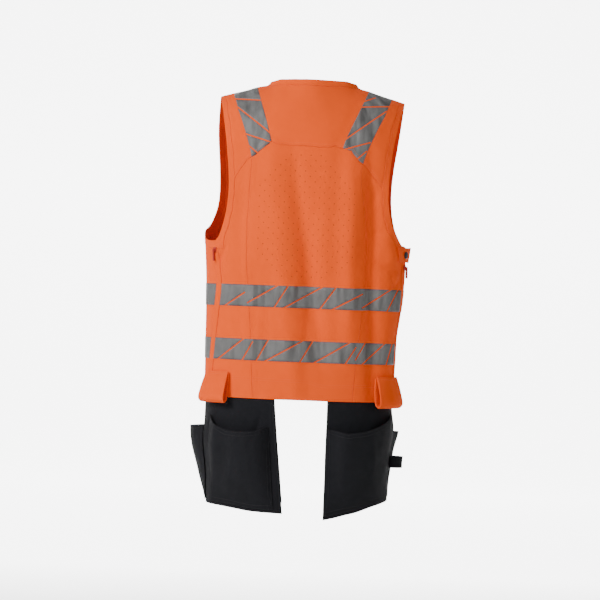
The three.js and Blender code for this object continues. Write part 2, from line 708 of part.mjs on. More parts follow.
// Each tool loop is folded over at the bottom and sewn to the vest above the hem.
function addToolLoops() {
  for (const side of SIDES) {
    const columns = [['back', COLUMN.band - 1], ['back', COLUMN.band], ['back', COLUMN.edge], ['side', 1]];
    if (side.sign < 0) columns.reverse();
    const rows = LOOP_PATH.map(({ out, down }) => {
      const lift = BAND_CLOTH + LOOP_CLOTH + out * LOOP_STAND;
      return columns.map((column) => skinPlace(side, column, LOOP_RISE - BODY_LENGTH - down * LOOP_LENGTH, lift));
    });
    addMesh(`tool_loop_${side.name}`, strapSolid(rows, LOOP_CLOTH), 'fabric');
  }
}

// Each holster hangs from inside the hem and goes round the hip.
function holsterRows(side) {
  const columns = roundColumns('neck', 'neck');
  const tuck = -HOLSTER_CLOTH - LAP_GAP;
  const rows = [ROW.facing, ROW.hem].map((row) => (
    columns.map((column) => skinPlace(side, column, LEVELS[row], tuck))
  ));
  const swing = HOLSTER_SWING[side.name];
  const steps = 6;
  for (let step = 1; step <= steps; step += 1) {
    rows.push(rows[1].map((top) => {
      const reach = Math.abs(top.x) / HALF_WIDTH;
      const length = HOLSTER_LENGTH * read(HOLSTER_EDGE, reach, side.name, 'reach');
      const share = step / steps;
      const sway = HALF_WIDTH * mix(swing.inner, swing.outer, Math.min(1, reach)) * share;
      const x = top.x - side.sign * sway;
      return new THREE.Vector3(x, top.y * (1 - HOLSTER_CLOSING * share), top.z - length * share);
    }));
  }
  return { columns, rows, steps };
}

const outwards = (middle) => middle.clone().setZ(0);

function addHolsters() {
  for (const side of SIDES) {
    const holster = holsterRows(side);
    holster.net = gridNet(holster.rows, outwards);
    const solid = clothSolid(holster.net, holster.net.cells, 0, HOLSTER_CLOTH, 0);
    addMesh(`holster_panel_${side.name}`, solid, 'holster');
    const lastBack = holster.columns.findIndex(([face]) => face === 'side') - 1;
    const innerFront = holster.columns.length - 1 - (COLUMN.inner - COLUMN.neck);
    const innerBack = side.sign > 0 ? COLUMN.inner - COLUMN.neck : 0;
    const sideStart = side.sign > 0 ? lastBack + 2 : lastBack + 3;
    const back = { from: lastBack, to: innerBack, mouth: BACK_MOUTH, stand: BACK_BAG_STAND, full: 0.8 };
    const stand = SIDE_BAG_STANDS[side.name];
    const front = { from: sideStart, to: innerFront, mouth: SIDE_MOUTH, stand, full: 0.5 };
    addBag(`holster_back_bag_${side.name}`, side, holster, back);
    addBag(`holster_side_bag_${side.name}`, side, holster, front);
    if (side.sign < 0) addHammerLoop(side, holster, Math.round((lastBack + sideStart) / 2));
  }
}

// A place on a holster, a share of the way down from the hem, and a distance out.
function holsterPlace(holster, column, share, out) {
  const scaled = share * holster.steps;
  const step = Math.min(holster.steps - 1, Math.floor(scaled));
  const at = (r) => {
    const id = `${column} ${r + 1}`;
    return holster.net.points.get(id).clone().addScaledVector(holster.net.normals.get(id), out);
  };
  return at(step).lerp(at(step + 1), scaled - step);
}

// A bag stands off the holster in the middle of its mouth and is sewn down along its other edges.
function addBag(name, side, holster, bag) {
  const turn = Math.sign(bag.to - bag.from);
  const count = Math.abs(bag.to - bag.from);
  const steps = 6;
  const rows = [];
  for (let step = 0; step <= steps; step += 1) {
    const row = [];
    for (let k = 0; k <= count; k += 1) {
      const along = k / count;
      const mouth = read(bag.mouth, along, side.name, 'along');
      const down = step / steps;
      const share = mix(mouth, BAG_FOOT, down);
      const belly = Math.sin(Math.PI * along) ** bag.full * (1 - 0.5 * down) * (1 - down ** 4);
      const out = HOLSTER_CLOTH + LAP_GAP + bag.stand * Math.max(0, belly);
      row.push(holsterPlace(holster, bag.from + turn * k, share, out));
    }
    rows.push(row);
  }
  const net = gridNet(rows, outwards);
  addMesh(name, clothSolid(net, net.cells, 0, BAG_CLOTH, 0), 'holster');
}

// A webbing loop that stands out from the holster's outer side.
function addHammerLoop(side, holster, column) {
  const ends = [HAMMER_LOOP_DROP, HAMMER_LOOP_DROP + HAMMER_LOOP_WIDTH];
  const rows = HAMMER_PATH.map(({ along, out }) => ends.map((drop) => {
    const share = drop / HOLSTER_LENGTH;
    const base = holsterPlace(holster, column, share, HOLSTER_CLOTH + LAP_GAP);
    const normal = holster.net.normals.get(`${column} 3`).clone().setZ(0).normalize();
    const across = new THREE.Vector3(-normal.y, normal.x, 0);
    const stand = BAG_CLOTH + out * HAMMER_LOOP_STAND;
    return base.addScaledVector(normal, stand).addScaledVector(across, along * HAMMER_LOOP_STAND);
  }));
  addMesh(`hammer_loop_${side.name}`, strapSolid(rows, BAG_CLOTH), 'holster');
}

// A tab over the top of the right side zip, with a snap on it.
function addTab() {
  const side = SIDES[1];
  const columns = [['back', COLUMN.band], ['back', COLUMN.edge], ['side', 1], ['side', 2], ['side', 3]];
  const steps = 3;
  const rows = [];
  for (let step = 0; step <= steps; step += 1) {
    const down = step / steps;
    const z = -ARMHOLE_DROP - 1 - TAB_LENGTH * down;
    rows.push(columns.map((column, k) => {
      const flare = TAB_FLARE * (k / (columns.length - 1)) ** 2 * (1 - 0.6 * down);
      return skinPlace(side, column, z, BAND_CLOTH + LAP_GAP + flare);
    }));
  }
  const net = gridNet(rows, outwards);
  addMesh('side_tab_right', clothSolid(net, net.cells, 0, TAB_CLOTH, 0), 'fabric');
  const cell = net.cells.find(({ row, column }) => row === 1 && column === 1);
  const middle = new THREE.Vector3();
  for (const id of cell.ids) middle.addScaledVector(net.points.get(id), 0.25);
  const normal = cell.normal.clone().normalize();
  const radius = SNAP_DIAMETER / 2;
  const profile = [[0, 0], [1, 0], [1, 0.4], [0.8, 0.85], [0.45, 1], [0, 1]];
  const points = profile.map(([r, h]) => new THREE.Vector2(r * radius, h * SNAP_HEIGHT));
  const snap = addMesh('side_snap_right', new THREE.LatheGeometry(points, 16), 'metal');
  snap.quaternion.setFromUnitVectors(new THREE.Vector3(0, 1, 0), normal);
  snap.position.copy(middle).addScaledVector(normal, TAB_CLOTH + 2 * LAP_GAP);
}

// A closed solid made from a three.js geometry, ready to be cut or joined.
function solidOf(geometry) {
  const bare = geometry.toNonIndexed();
  for (const name of Object.keys(bare.attributes)) if (name !== 'position') bare.deleteAttribute(name);
  const merged = mergeVertices(bare, 1e-4);
  const triVerts = Uint32Array.from(merged.index.array);
  const vertProperties = Float32Array.from(merged.attributes.position.array);
  return new wasm.Manifold(new wasm.Mesh({ numProp: 3, vertProperties, triVerts }));
}

function geometryOf(solid) {
  const mesh = solid.getMesh();
  const geometry = new THREE.BufferGeometry();
  geometry.setAttribute('position', new THREE.BufferAttribute(Float32Array.from(mesh.vertProperties), 3));
  geometry.setIndex(new THREE.BufferAttribute(Uint32Array.from(mesh.triVerts), 1));
  return geometry;
}

// The pin stands this far over the slider's foot, so that the pull swings clear of the cloth.
const PIN_HEIGHT = SLIDER_HEIGHT + PULL_WIDTH / 2 + PIN_CLEARANCE;

// A slider lies in a frame with X across it, Y out and Z up, its foot at the origin.
function sliderGeometry() {
  const body = new THREE.BoxGeometry(SLIDER_WIDTH, SLIDER_HEIGHT, SLIDER_LENGTH);
  body.translate(0, SLIDER_HEIGHT / 2, 0);
  let solid = solidOf(body);
  const gap = PULL_THICKNESS + PIN_CLEARANCE;
  const earHeight = PIN_HEIGHT + PIN_DIAMETER;
  for (const sign of [-1, 1]) {
    const ear = new THREE.BoxGeometry(EAR_THICKNESS, earHeight, PULL_WIDTH);
    ear.translate(sign * (gap + EAR_THICKNESS) / 2, earHeight / 2, 0);
    solid = solid.add(solidOf(ear));
  }
  const pin = new THREE.CylinderGeometry(PIN_DIAMETER / 2, PIN_DIAMETER / 2, gap + EAR_THICKNESS, 12);
  pin.rotateZ(Math.PI / 2).translate(0, PIN_HEIGHT, 0);
  return geometryOf(solid.add(solidOf(pin)));
}

// The pull is an eye round the pin with a tab that hangs from it.
function pullGeometry() {
  const radius = PULL_WIDTH / 2;
  const shape = new THREE.Shape();
  shape.moveTo(radius, -PULL_LENGTH);
  shape.lineTo(radius, 0);
  shape.absarc(0, 0, radius, 0, Math.PI, false);
  shape.lineTo(-radius, -PULL_LENGTH);
  shape.lineTo(radius, -PULL_LENGTH);
  const hole = new THREE.Path();
  hole.absarc(0, 0, PIN_DIAMETER / 2 + PIN_CLEARANCE, 0, 2 * Math.PI, true);
  shape.holes.push(hole);
  const options = { depth: PULL_THICKNESS, bevelEnabled: false, curveSegments: 6 };
  const geometry = new THREE.ExtrudeGeometry(shape, options);
  geometry.translate(0, 0, -PULL_THICKNESS / 2).rotateY(Math.PI / 2);
  geometry.rotateX(Math.PI / 2);
  return geometry;
}

const SLIDER_PLACES = { left: 20, right: 42 };

// One slider and its pull on each side placket.
function addSliders() {
  for (const side of SIDES) {
    const z = -ARMHOLE_DROP - SLIDER_PLACES[side.name];
    const at = (column, shift) => skinPlace(side, column, z + shift, BAND_CLOTH + LAP_GAP);
    const [backSeam, frontSeam] = [['back', COLUMN.edge], ['side', 1]];
    const across = at(frontSeam, 0).sub(at(backSeam, 0)).normalize();
    if (side.sign < 0) across.negate();
    const upwards = at(backSeam, SLIDER_LENGTH).sub(at(backSeam, -SLIDER_LENGTH));
    const out = new THREE.Vector3().crossVectors(upwards, across).normalize();
    const frame = new THREE.Group();
    frame.position.copy(at(backSeam, 0)).lerp(at(frontSeam, 0), 0.5);
    const up = new THREE.Vector3().crossVectors(across, out);
    frame.setRotationFromMatrix(new THREE.Matrix4().makeBasis(across, out, up));
    addMesh(`zip_slider_${side.name}`, sliderGeometry(), 'zip', frame);
    const pull = addMesh(`zip_pull_${side.name}`, pullGeometry(), 'zip', frame);
    pull.position.set(0, PIN_HEIGHT, 0);
    group.add(frame);
  }
}

addPanels();
addTapes();
addToolLoops();
addHolsters();
addTab();
addSliders();

export default group;
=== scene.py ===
"""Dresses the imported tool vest: folded cloth with seams, cut reflective tapes, stitches, zips and holsters.

Metres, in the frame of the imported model: +X is the wearer's left, -Y the front and +Z up.
"""
import json
import math

import bmesh
import bpy
from bpy.props import FloatProperty, FloatVectorProperty, IntProperty, PointerProperty, StringProperty
from mathutils import Matrix, Vector, noise
from mathutils.bvhtree import BVHTree
from mathutils.kdtree import KDTree

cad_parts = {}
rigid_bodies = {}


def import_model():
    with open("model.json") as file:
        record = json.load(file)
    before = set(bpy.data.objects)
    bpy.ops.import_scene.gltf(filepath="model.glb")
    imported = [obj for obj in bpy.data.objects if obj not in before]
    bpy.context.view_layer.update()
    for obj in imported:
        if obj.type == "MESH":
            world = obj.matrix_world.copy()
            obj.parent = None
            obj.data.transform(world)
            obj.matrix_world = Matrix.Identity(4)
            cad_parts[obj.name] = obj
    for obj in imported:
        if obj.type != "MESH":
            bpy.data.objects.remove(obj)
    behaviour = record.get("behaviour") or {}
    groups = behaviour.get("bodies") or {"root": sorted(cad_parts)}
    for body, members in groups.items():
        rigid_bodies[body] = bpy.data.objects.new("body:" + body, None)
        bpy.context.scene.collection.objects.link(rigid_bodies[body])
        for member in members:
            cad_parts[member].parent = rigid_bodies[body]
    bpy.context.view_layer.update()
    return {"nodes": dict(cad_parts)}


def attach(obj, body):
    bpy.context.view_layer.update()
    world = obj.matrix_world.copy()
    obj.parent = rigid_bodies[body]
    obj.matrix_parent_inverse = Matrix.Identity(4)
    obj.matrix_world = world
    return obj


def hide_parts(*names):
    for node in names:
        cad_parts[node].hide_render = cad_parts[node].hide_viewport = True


bl_info = {
    "name": "Tool vest looks",
    "version": (1, 0, 0),
    "blender": (4, 5, 0),
    "location": "View3D > Sidebar > Tool vest",
    "description": "Builds the cloth, tapes, zips and holsters of a high-visibility tool vest",
    "category": "Object",
}

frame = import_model()
MM = 0.001
SIDES = ("left", "right")

# Cloth pieces cut from the vest's skin: how far the outer face stands off it, in millimetres,
# the flat cut's width and length in metres, and its flat area in square metres.
CLOTH_PIECES = {
    "back_yoke": (2.3, 0.41, 0.24, 0.062),
    "back_panel": (1.8, 0.25, 0.53, 0.120),
    "back_side_left": (1.8, 0.11, 0.49, 0.032),
    "back_side_right": (1.8, 0.11, 0.49, 0.041),
    "side_panel_left": (1.8, 0.13, 0.345, 0.039),
    "side_panel_right": (1.8, 0.09, 0.32, 0.027),
    "front_left": (1.8, 0.23, 0.70, 0.130),
    "front_right": (1.8, 0.22, 0.70, 0.122),
    "neckband": (2.5, 0.012, 0.68, 0.0081),
    "armhole_band_left": (2.4, 0.014, 0.93, 0.013),
    "armhole_band_right": (2.4, 0.014, 0.93, 0.013),
    "side_placket_left": (2.6, 0.015, 0.31, 0.0045),
    "side_placket_right": (2.6, 0.015, 0.31, 0.0045),
    "front_zip": (2.2, 0.012, 0.56, 0.0062),
}
TAPE_NODES = (
    "upper_tape_back", "upper_tape_left", "upper_tape_right",
    "lower_tape_back", "lower_tape_left", "lower_tape_right",
    "shoulder_tape_left", "shoulder_tape_right",
)

# Slits of the back's tapes, in millimetres: x and z of the lower end and of the upper end.
SLITS = {
    "upper_tape_back": (
        (203, -442, 175, -428), (170, -467, 125, -435), (120, -457, 55, -417), (66, -468, 35, -416),
        (50, -468, -38, -416), (-26, -469, -63, -416), (-46, -469, -117, -430), (-116, -459, -179, -416),
        (-166, -469, -192, -416),
    ),
    "lower_tape_back": (
        (182, -579, 119, -526), (126, -575, 105, -535), (99, -579, 71, -526),
        (86, -579, -4, -526), (10, -579, -20, -526), (-14, -579, -94, -530), (-83, -579, -107, -539),
        (-106, -566, -128, -526), (-116, -579, -171, -526), (-170, -579, -184, -526),
    ),
    "shoulder_tape_left": (
        (170, -34, 108, -38), (166, -45, 84, -109), (138, -110, 79, -128), (132, -132, 107, -152),
    ),
    "shoulder_tape_right": (
        (-104, -33, -130, -21), (-94, -46, -160, -39), (-67, -117, -153, -50), (-63, -138, -121, -119),
        (-91, -158, -114, -137),
    ),
}
# Slits of the tapes round the sides and the front: turns round the vest in degrees from its left side,
# less than none towards the front, at the lower end and at the upper end.
TURNED_SLITS = ((14, 4), (0, -14), (-16, -20), (-24, -44), (-44, -50), (-56, -78), (-77, -84))
SHOULDER_SLITS = ((-60, 14), (-100, -30), (-150, -128), (-210, -170), (-262, -240), (-330, -290))


def milli(x, y, z):
    """A point given in millimetres."""
    return Vector((x, y, z)) * MM


def linear(text):
    """The linear colour of an sRGB hex value."""
    channels = [int(text[i:i + 2], 16) / 255 for i in (1, 3, 5)]
    return [c / 12.92 if c <= 0.04045 else ((c + 0.055) / 1.055) ** 2.4 for c in channels] + [1.0]


def smooth_step(low, high, value):
    """Rises smoothly from none at the low value to one at the high value."""
    share = min(1.0, max(0.0, (value - low) / (high - low)))
    return share * share * (3 - 2 * share)


# Settings


class VEST_PG_sizes(bpy.types.PropertyGroup):
    stitch_length: FloatProperty(
        name="Stitch length", description="Length of one stitch", default=0.0026, unit="LENGTH")
    stitch_pitch: FloatProperty(
        name="Stitch pitch", description="Distance between stitches", default=0.0036, unit="LENGTH")
    thread_thickness: FloatProperty(
        name="Thread thickness", description="Thickness of the sewing thread", default=0.0006, unit="LENGTH")
    slit_width: FloatProperty(
        name="Slit width", description="Width of the slits in the tape", default=0.0027, unit="LENGTH")
    tape_thickness: FloatProperty(
        name="Tape thickness", description="Thickness of the reflective tape", default=0.0004, unit="LENGTH")
    seam_gap: FloatProperty(
        name="Seam gap", description="Gap between cloth pieces at a seam", default=0.0001, unit="LENGTH")
    skin_levels: IntProperty(
        name="Skin levels", description="Levels of subdivision of the cloth", default=3, min=1, max=4)


class VEST_PG_colours(bpy.types.PropertyGroup):
    shell: StringProperty(name="Shell cloth", description="Colour of the outer cloth", default="#FB570A")
    lining: StringProperty(name="Lining", description="Colour of the inner face", default="#E84A14")
    tape: StringProperty(name="Reflective tape", description="Colour of the tape", default="#6D6C6B")
    nylon: StringProperty(name="Holster nylon", description="Colour of the holsters", default="#121217")
    thread: StringProperty(name="Orange thread", description="Colour of the stitches", default="#F4561A")
    black_thread: StringProperty(name="Dark thread", description="Colour of dark thread", default="#0F0F12")
    zip_plastic: StringProperty(name="Zip plastic", description="Colour of the zip parts", default="#B02C1C")
    # Inside the holes: the inner cloth seen through them, darkened as painted shade.
    holes: StringProperty(name="Holes", description="Colour inside the punched holes", default="#B8461C")
    metal: StringProperty(name="Snap metal", description="Colour of the snap cap", default="#33343A")
    floor: StringProperty(name="Floor", description="Colour of the floor and backdrop", default="#F2F2F2")
    light: FloatVectorProperty(
        name="Light", description="Colour of the studio light", default=(1.0, 1.0, 1.0), subtype="COLOR")


def sizes():
    """The sizes that a user may change."""
    return bpy.context.scene.vest_sizes


def colours():
    """The colours that a user may change."""
    return bpy.context.scene.vest_colours


# Materials

# Sockets and settings of a mix node that mixes colours.
COLOUR_A, COLOUR_B, MIXED = 6, 7, 2
MULTIPLY = {"data_type": "RGBA", "blend_type": "MULTIPLY", "Factor": 1.0}


def add_node(tree, kind, settings=None, links=None):
    """Adds one node, with its plain settings, its input values and what its inputs are linked from."""
    node = tree.nodes.new(kind)
    for key, value in (settings or {}).items():
        if isinstance(key, int) or key in node.inputs:
            node.inputs[key].default_value = value
        else:
            setattr(node, key, value)
    for key, source in (links or {}).items():
        tree.links.new(source, node.inputs[key])
    return node


def new_material(name, roughness, sheen=0.0, metallic=0.0, specular=0.5):
    """A material with a principled shader, ready for its nodes."""
    material = bpy.data.materials.new(name)
    material.use_nodes = True
    shader = material.node_tree.nodes["Principled BSDF"]
    shader.inputs["Roughness"].default_value = roughness
    shader.inputs["Metallic"].default_value = metallic
    shader.inputs["Specular IOR Level"].default_value = specular
    shader.inputs["Sheen Weight"].default_value = sheen
    return material, material.node_tree, shader


def noise_tint(tree, place, colour, scale, low, high):
    """The colour, lightened and darkened by a soft noise."""
    cloud = add_node(tree, "ShaderNodeTexNoise", {"Scale": scale, "Detail": 3.0, "Roughness": 0.55},
                     {"Vector": place})
    share = add_node(tree, "ShaderNodeMapRange",
                     {"From Min": 0.3, "From Max": 0.7, "To Min": low, "To Max": high},
                     {"Value": cloud.outputs["Fac"]})
    tint = add_node(tree, "ShaderNodeMix", {**MULTIPLY, COLOUR_A: linear(colour)},
                    {COLOUR_B: share.outputs["Result"]})
    return tint.outputs[MIXED]


def weave_height(tree, place, pitch):
    """Height of a plain weave: two sets of ridges, a pitch apart, seen along the piece's own axes."""
    split = add_node(tree, "ShaderNodeSeparateXYZ", {}, {"Vector": place})
    # One thread runs up the cloth and one across it. Round the body the latter counts on x and y.
    around = add_node(tree, "ShaderNodeMath", {"operation": "ADD"},
                      {0: split.outputs["X"], 1: split.outputs["Y"]})
    waves = {}
    for number, source in enumerate((around.outputs[0], split.outputs["Z"])):
        settings = {"operation": "MULTIPLY", 1: 2 * math.pi / pitch}
        angle = add_node(tree, "ShaderNodeMath", settings, {0: source})
        wave = add_node(tree, "ShaderNodeMath", {"operation": "SINE"}, {0: angle.outputs[0]})
        waves[number] = wave.outputs[0]
    return add_node(tree, "ShaderNodeMath", {"operation": "MULTIPLY"}, waves).outputs[0]


def add_bumps(tree, shader, heights):
    """Chains bumps: each height has its own depth in metres."""
    links = {}
    for height, depth in heights:
        bump = add_node(tree, "ShaderNodeBump", {"Distance": depth}, {"Height": height, **links})
        links = {"Normal": bump.outputs["Normal"]}
    tree.links.new(links["Normal"], shader.inputs["Normal"])


def seam_pucker(tree, place):
    """Millimetres to the nearest seam, and the height of the puckers that sewing leaves beside it."""
    seam = add_node(tree, "ShaderNodeAttribute", {"attribute_name": "seam_mm"}).outputs["Fac"]
    near = add_node(tree, "ShaderNodeMapRange",
                    {"From Min": 1.0, "From Max": 13.0, "To Min": 1.0, "To Max": 0.0}, {"Value": seam})
    ripple = add_node(tree, "ShaderNodeTexNoise", {"Scale": 95.0}, {"Vector": place})
    both = add_node(tree, "ShaderNodeMath", {"operation": "MULTIPLY"},
                    {0: near.outputs["Result"], 1: ripple.outputs["Fac"]})
    return seam, both.outputs[0]


def object_place(tree):
    """The place on the piece, in the vest's own frame."""
    return add_node(tree, "ShaderNodeTexCoord").outputs["Object"]


# The real knit is 0.5 mm; drawn at 1.1 mm so that it shows.
KNIT_PITCH = 0.0011


def shell_cloth(name, colour, perforated=False):
    """Softshell of knitted polyester: matt, with a faint knit, soft mottling, puckered seams with painted
    shade beside them, and, where perforated, holes painted darker as their shade.
    """
    material, tree, shader = new_material(name, 0.92, sheen=0.02, specular=0.15)
    place = object_place(tree)
    tint = noise_tint(tree, place, colour, 9.0, 0.955, 1.03)
    seam, pucker = seam_pucker(tree, place)
    # Cloth next to a seam lies lower, and its colour there is darkened a little as painted shade.
    shade = add_node(tree, "ShaderNodeMapRange",
                     {"From Min": 0.0, "From Max": 3.0, "To Min": 0.97, "To Max": 1.0}, {"Value": seam})
    tinted = add_node(tree, "ShaderNodeMix", MULTIPLY, {COLOUR_A: tint, COLOUR_B: shade.outputs["Result"]})
    base = tinted.outputs[MIXED]
    heights = [(pucker, 0.0012), (weave_height(tree, place, KNIT_PITCH), 0.00008)]
    if perforated:
        # The holes are painted in the inner cloth's colour, darkened as painted shade, and bumped down.
        dots = perforation_mask(tree, place)
        dark = add_node(tree, "ShaderNodeMix", {"data_type": "RGBA", COLOUR_B: linear(colours().holes)},
                        {"Factor": dots, COLOUR_A: base})
        base = dark.outputs[MIXED]
        deep = add_node(tree, "ShaderNodeMath", {"operation": "MULTIPLY", 1: -1.0}, {0: dots})
        heights.append((deep.outputs[0], 0.0008))
    tree.links.new(base, shader.inputs["Base Color"])
    add_bumps(tree, shader, heights)
    return material


# The punched holes are 2.1 mm wide, every second one left out of a grid of these steps, in metres.
HOLE_RADIUS = 0.00105
HOLE_STEP_ACROSS, HOLE_STEP_UP = 0.0102, 0.0108
# Steps of the perforation's mask: name, operation and what goes in, a number or an earlier step.
# The staggered grid is a plain grid turned by an eighth: holes where both turned numbers are whole.
# The field is as wide as its flanks allow: flat sides, sloping shoulders and a rounded foot.
MASK_STEPS = (
    ("across", "DIVIDE", "x", HOLE_STEP_ACROSS),
    ("up", "DIVIDE", "z", HOLE_STEP_UP),
    ("sum", "ADD", "across", "up"),
    ("difference", "SUBTRACT", "across", "up"),
    ("first", "MULTIPLY", "sum", 0.5),
    ("second", "MULTIPLY", "difference", 0.5),
    ("first_whole", "ROUND", "first", 0.0),
    ("second_whole", "ROUND", "second", 0.0),
    ("off_first", "SUBTRACT", "first", "first_whole"),
    ("off_second", "SUBTRACT", "second", "second_whole"),
    ("off_across", "ADD", "off_first", "off_second"),
    ("off_up", "SUBTRACT", "off_first", "off_second"),
    ("dx", "MULTIPLY", "off_across", HOLE_STEP_ACROSS),
    ("dz", "MULTIPLY", "off_up", HOLE_STEP_UP),
    ("dx_squared", "MULTIPLY", "dx", "dx"),
    ("dz_squared", "MULTIPLY", "dz", "dz"),
    ("squares", "ADD", "dx_squared", "dz_squared"),
    ("far", "SQRT", "squares", 0.0),
    ("from_middle", "SUBTRACT", "x", 0.006),
    ("side", "ABSOLUTE", "from_middle", 0.0),
    ("below_top", "SUBTRACT", -0.142, "z"),
    ("above_foot", "ADD", "z", 0.402),
    ("shoulder_slope", "MULTIPLY", "below_top", 0.92),
    ("shoulder", "ADD", "shoulder_slope", 0.030),
    ("foot_slope", "MULTIPLY", "above_foot", 1.3),
    ("foot", "ADD", "foot_slope", 0.050),
    ("ends", "MINIMUM", "shoulder", "foot"),
    ("reach", "MINIMUM", "ends", 0.101),
    ("room", "SUBTRACT", "reach", "side"),
    ("in_field", "GREATER_THAN", "room", 0.0),
    ("under_top", "GREATER_THAN", "below_top", 0.0),
    ("over_foot", "GREATER_THAN", "above_foot", 0.0),
    ("band", "MULTIPLY", "under_top", "over_foot"),
    ("field", "MULTIPLY", "in_field", "band"),
)


def perforation_mask(tree, place):
    """One inside each punched hole, on a staggered grid in a rounded six-sided field of the back."""
    split = add_node(tree, "ShaderNodeSeparateXYZ", {}, {"Vector": place})
    made = {"x": split.outputs["X"], "z": split.outputs["Z"]}
    for name, operation, *values in MASK_STEPS:
        numbers = {k: value for k, value in enumerate(values) if not isinstance(value, str)}
        links = {k: made[value] for k, value in enumerate(values) if isinstance(value, str)}
        node = add_node(tree, "ShaderNodeMath", {"operation": operation, **numbers}, links)
        made[name] = node.outputs[0]
    inside = add_node(tree, "ShaderNodeMapRange",
                      {"From Min": HOLE_RADIUS * 0.75, "From Max": HOLE_RADIUS * 1.15,
                       "To Min": 1.0, "To Max": 0.0}, {"Value": made["far"]})
    mask = add_node(tree, "ShaderNodeMath", {"operation": "MULTIPLY"},
                    {0: inside.outputs["Result"], 1: made["field"]})
    return mask.outputs[0]


def lining_cloth():
    """Brushed tricot lining: darker and fuzzier than the shell."""
    material, tree, shader = new_material("brushed_tricot_lining", 0.95, sheen=0.1, specular=0.15)
    place = object_place(tree)
    tree.links.new(noise_tint(tree, place, colours().lining, 14.0, 0.88, 1.08), shader.inputs["Base Color"])
    fuzz = add_node(tree, "ShaderNodeTexNoise", {"Scale": 900.0, "Detail": 2.0}, {"Vector": place})
    add_bumps(tree, shader, [(fuzz.outputs["Fac"], 0.0004)])
    return material


def reflective_film():
    """Glass-bead transfer film: satin grey with fine wrinkles and a few soft creases."""
    material, tree, shader = new_material("glass_bead_reflective_film", 0.55, metallic=0.1, specular=0.2)
    place = object_place(tree)
    tint = noise_tint(tree, place, colours().tape, 22.0, 0.86, 1.10)
    tree.links.new(tint, shader.inputs["Base Color"])
    stretched = add_node(tree, "ShaderNodeMapping", {"Scale": (34.0, 34.0, 6.0)}, {"Vector": place})
    crease = add_node(tree, "ShaderNodeTexNoise", {"Scale": 1.0, "Detail": 1.5, "Roughness": 0.45},
                      {"Vector": stretched.outputs["Vector"]})
    pucker = seam_pucker(tree, place)[1]
    beads = add_node(tree, "ShaderNodeTexNoise", {"Scale": 1500.0, "Detail": 1.0}, {"Vector": place})
    heights = [(crease.outputs["Fac"], 0.022), (pucker, 0.0010), (beads.outputs["Fac"], 0.0001)]
    add_bumps(tree, shader, heights)
    return material


def coarse_nylon(name, colour, pitch, depth, roughness):
    """Coarse woven nylon: dry black cloth with a basket weave that catches a little light."""
    material, tree, shader = new_material(name, roughness, sheen=0.02, specular=0.2)
    place = object_place(tree)
    tree.links.new(noise_tint(tree, place, colour, 18.0, 0.85, 1.15), shader.inputs["Base Color"])
    slub = add_node(tree, "ShaderNodeTexNoise", {"Scale": 55.0, "Detail": 3.0}, {"Vector": place})
    add_bumps(tree, shader, [(slub.outputs["Fac"], 0.0009), (weave_height(tree, place, pitch), depth)])
    return material


def spun_thread(name, colour):
    """Spun polyester thread: slightly glossy, with a fine twist."""
    material, tree, shader = new_material(name, 0.6, sheen=0.05)
    place = object_place(tree)
    tree.links.new(noise_tint(tree, place, colour, 300.0, 0.9, 1.08), shader.inputs["Base Color"])
    return material


def moulded_plastic(name, colour):
    """Moulded acetal of the zip: satin, with faint flow marks."""
    material, tree, shader = new_material(name, 0.38)
    place = object_place(tree)
    tree.links.new(noise_tint(tree, place, colour, 160.0, 0.92, 1.06), shader.inputs["Base Color"])
    flow = add_node(tree, "ShaderNodeTexNoise", {"Scale": 700.0, "Detail": 2.0}, {"Vector": place})
    add_bumps(tree, shader, [(flow.outputs["Fac"], 0.00006)])
    return material


def gunmetal():
    """Plated brass snap cap, dark nickel: a smooth metal with rubbed spots."""
    material, tree, shader = new_material("dark_nickel_plating", 0.4, metallic=1.0)
    place = object_place(tree)
    tree.links.new(noise_tint(tree, place, colours().metal, 400.0, 0.8, 1.2), shader.inputs["Base Color"])
    rub = add_node(tree, "ShaderNodeTexNoise", {"Scale": 900.0, "Detail": 2.0}, {"Vector": place})
    add_bumps(tree, shader, [(rub.outputs["Fac"], 0.00004)])
    return material


FINISHES = {
    "shell": lambda: shell_cloth("knitted_softshell", colours().shell),
    "perforated": lambda: shell_cloth("perforated_softshell", colours().shell, perforated=True),
    "lining": lining_cloth,
    "film": reflective_film,
    "nylon": lambda: coarse_nylon("coarse_woven_nylon", colours().nylon, 0.0016, 0.00022, 0.78),
    "webbing": lambda: coarse_nylon("nylon_webbing", colours().nylon, 0.0022, 0.0004, 0.7),
    "thread": lambda: spun_thread("orange_polyester_thread", colours().thread),
    "black_thread": lambda: spun_thread("black_polyester_thread", colours().black_thread),
    "zip": lambda: moulded_plastic("moulded_acetal", colours().zip_plastic),
    "metal": gunmetal,
}
finish_made = {}


def finish(name):
    """The material of that name, made once."""
    if name not in finish_made:
        finish_made[name] = FINISHES[name]()
    return finish_made[name]


# Pieces


def mesh_of(name, bm):
    """A mesh made of a bmesh, which is freed."""
    mesh = bpy.data.meshes.new(name)
    bm.to_mesh(mesh)
    bm.free()
    return mesh


def add_object(name, data):
    """A new object in the scene."""
    made = bpy.data.objects.new(name, data)
    bpy.context.scene.collection.objects.link(made)
    return made


def add_piece(name, bm, finishes, node, body="vest", replaces=True):
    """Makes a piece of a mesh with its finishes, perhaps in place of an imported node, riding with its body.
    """
    piece = add_object(name, mesh_of(name, bm))
    for key in finishes:
        piece.data.materials.append(finish(key))
    piece.data.shade_smooth()
    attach(piece, body)
    if replaces:
        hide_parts(node)
    return piece


CLOTH_ROUNDING = 0.35 * MM
SOFT_ROUNDING = 0.4 * MM
MOULDED_ROUNDING = 0.35 * MM


def round_edges(piece, width, segments, limit, angle=30):
    """Rounds a piece's edges, those marked or those sharper than an angle in degrees."""
    edge = piece.modifiers.new("edge", "BEVEL")
    edge.width = width
    edge.segments = segments
    edge.limit_method = limit
    edge.angle_limit = math.radians(angle)


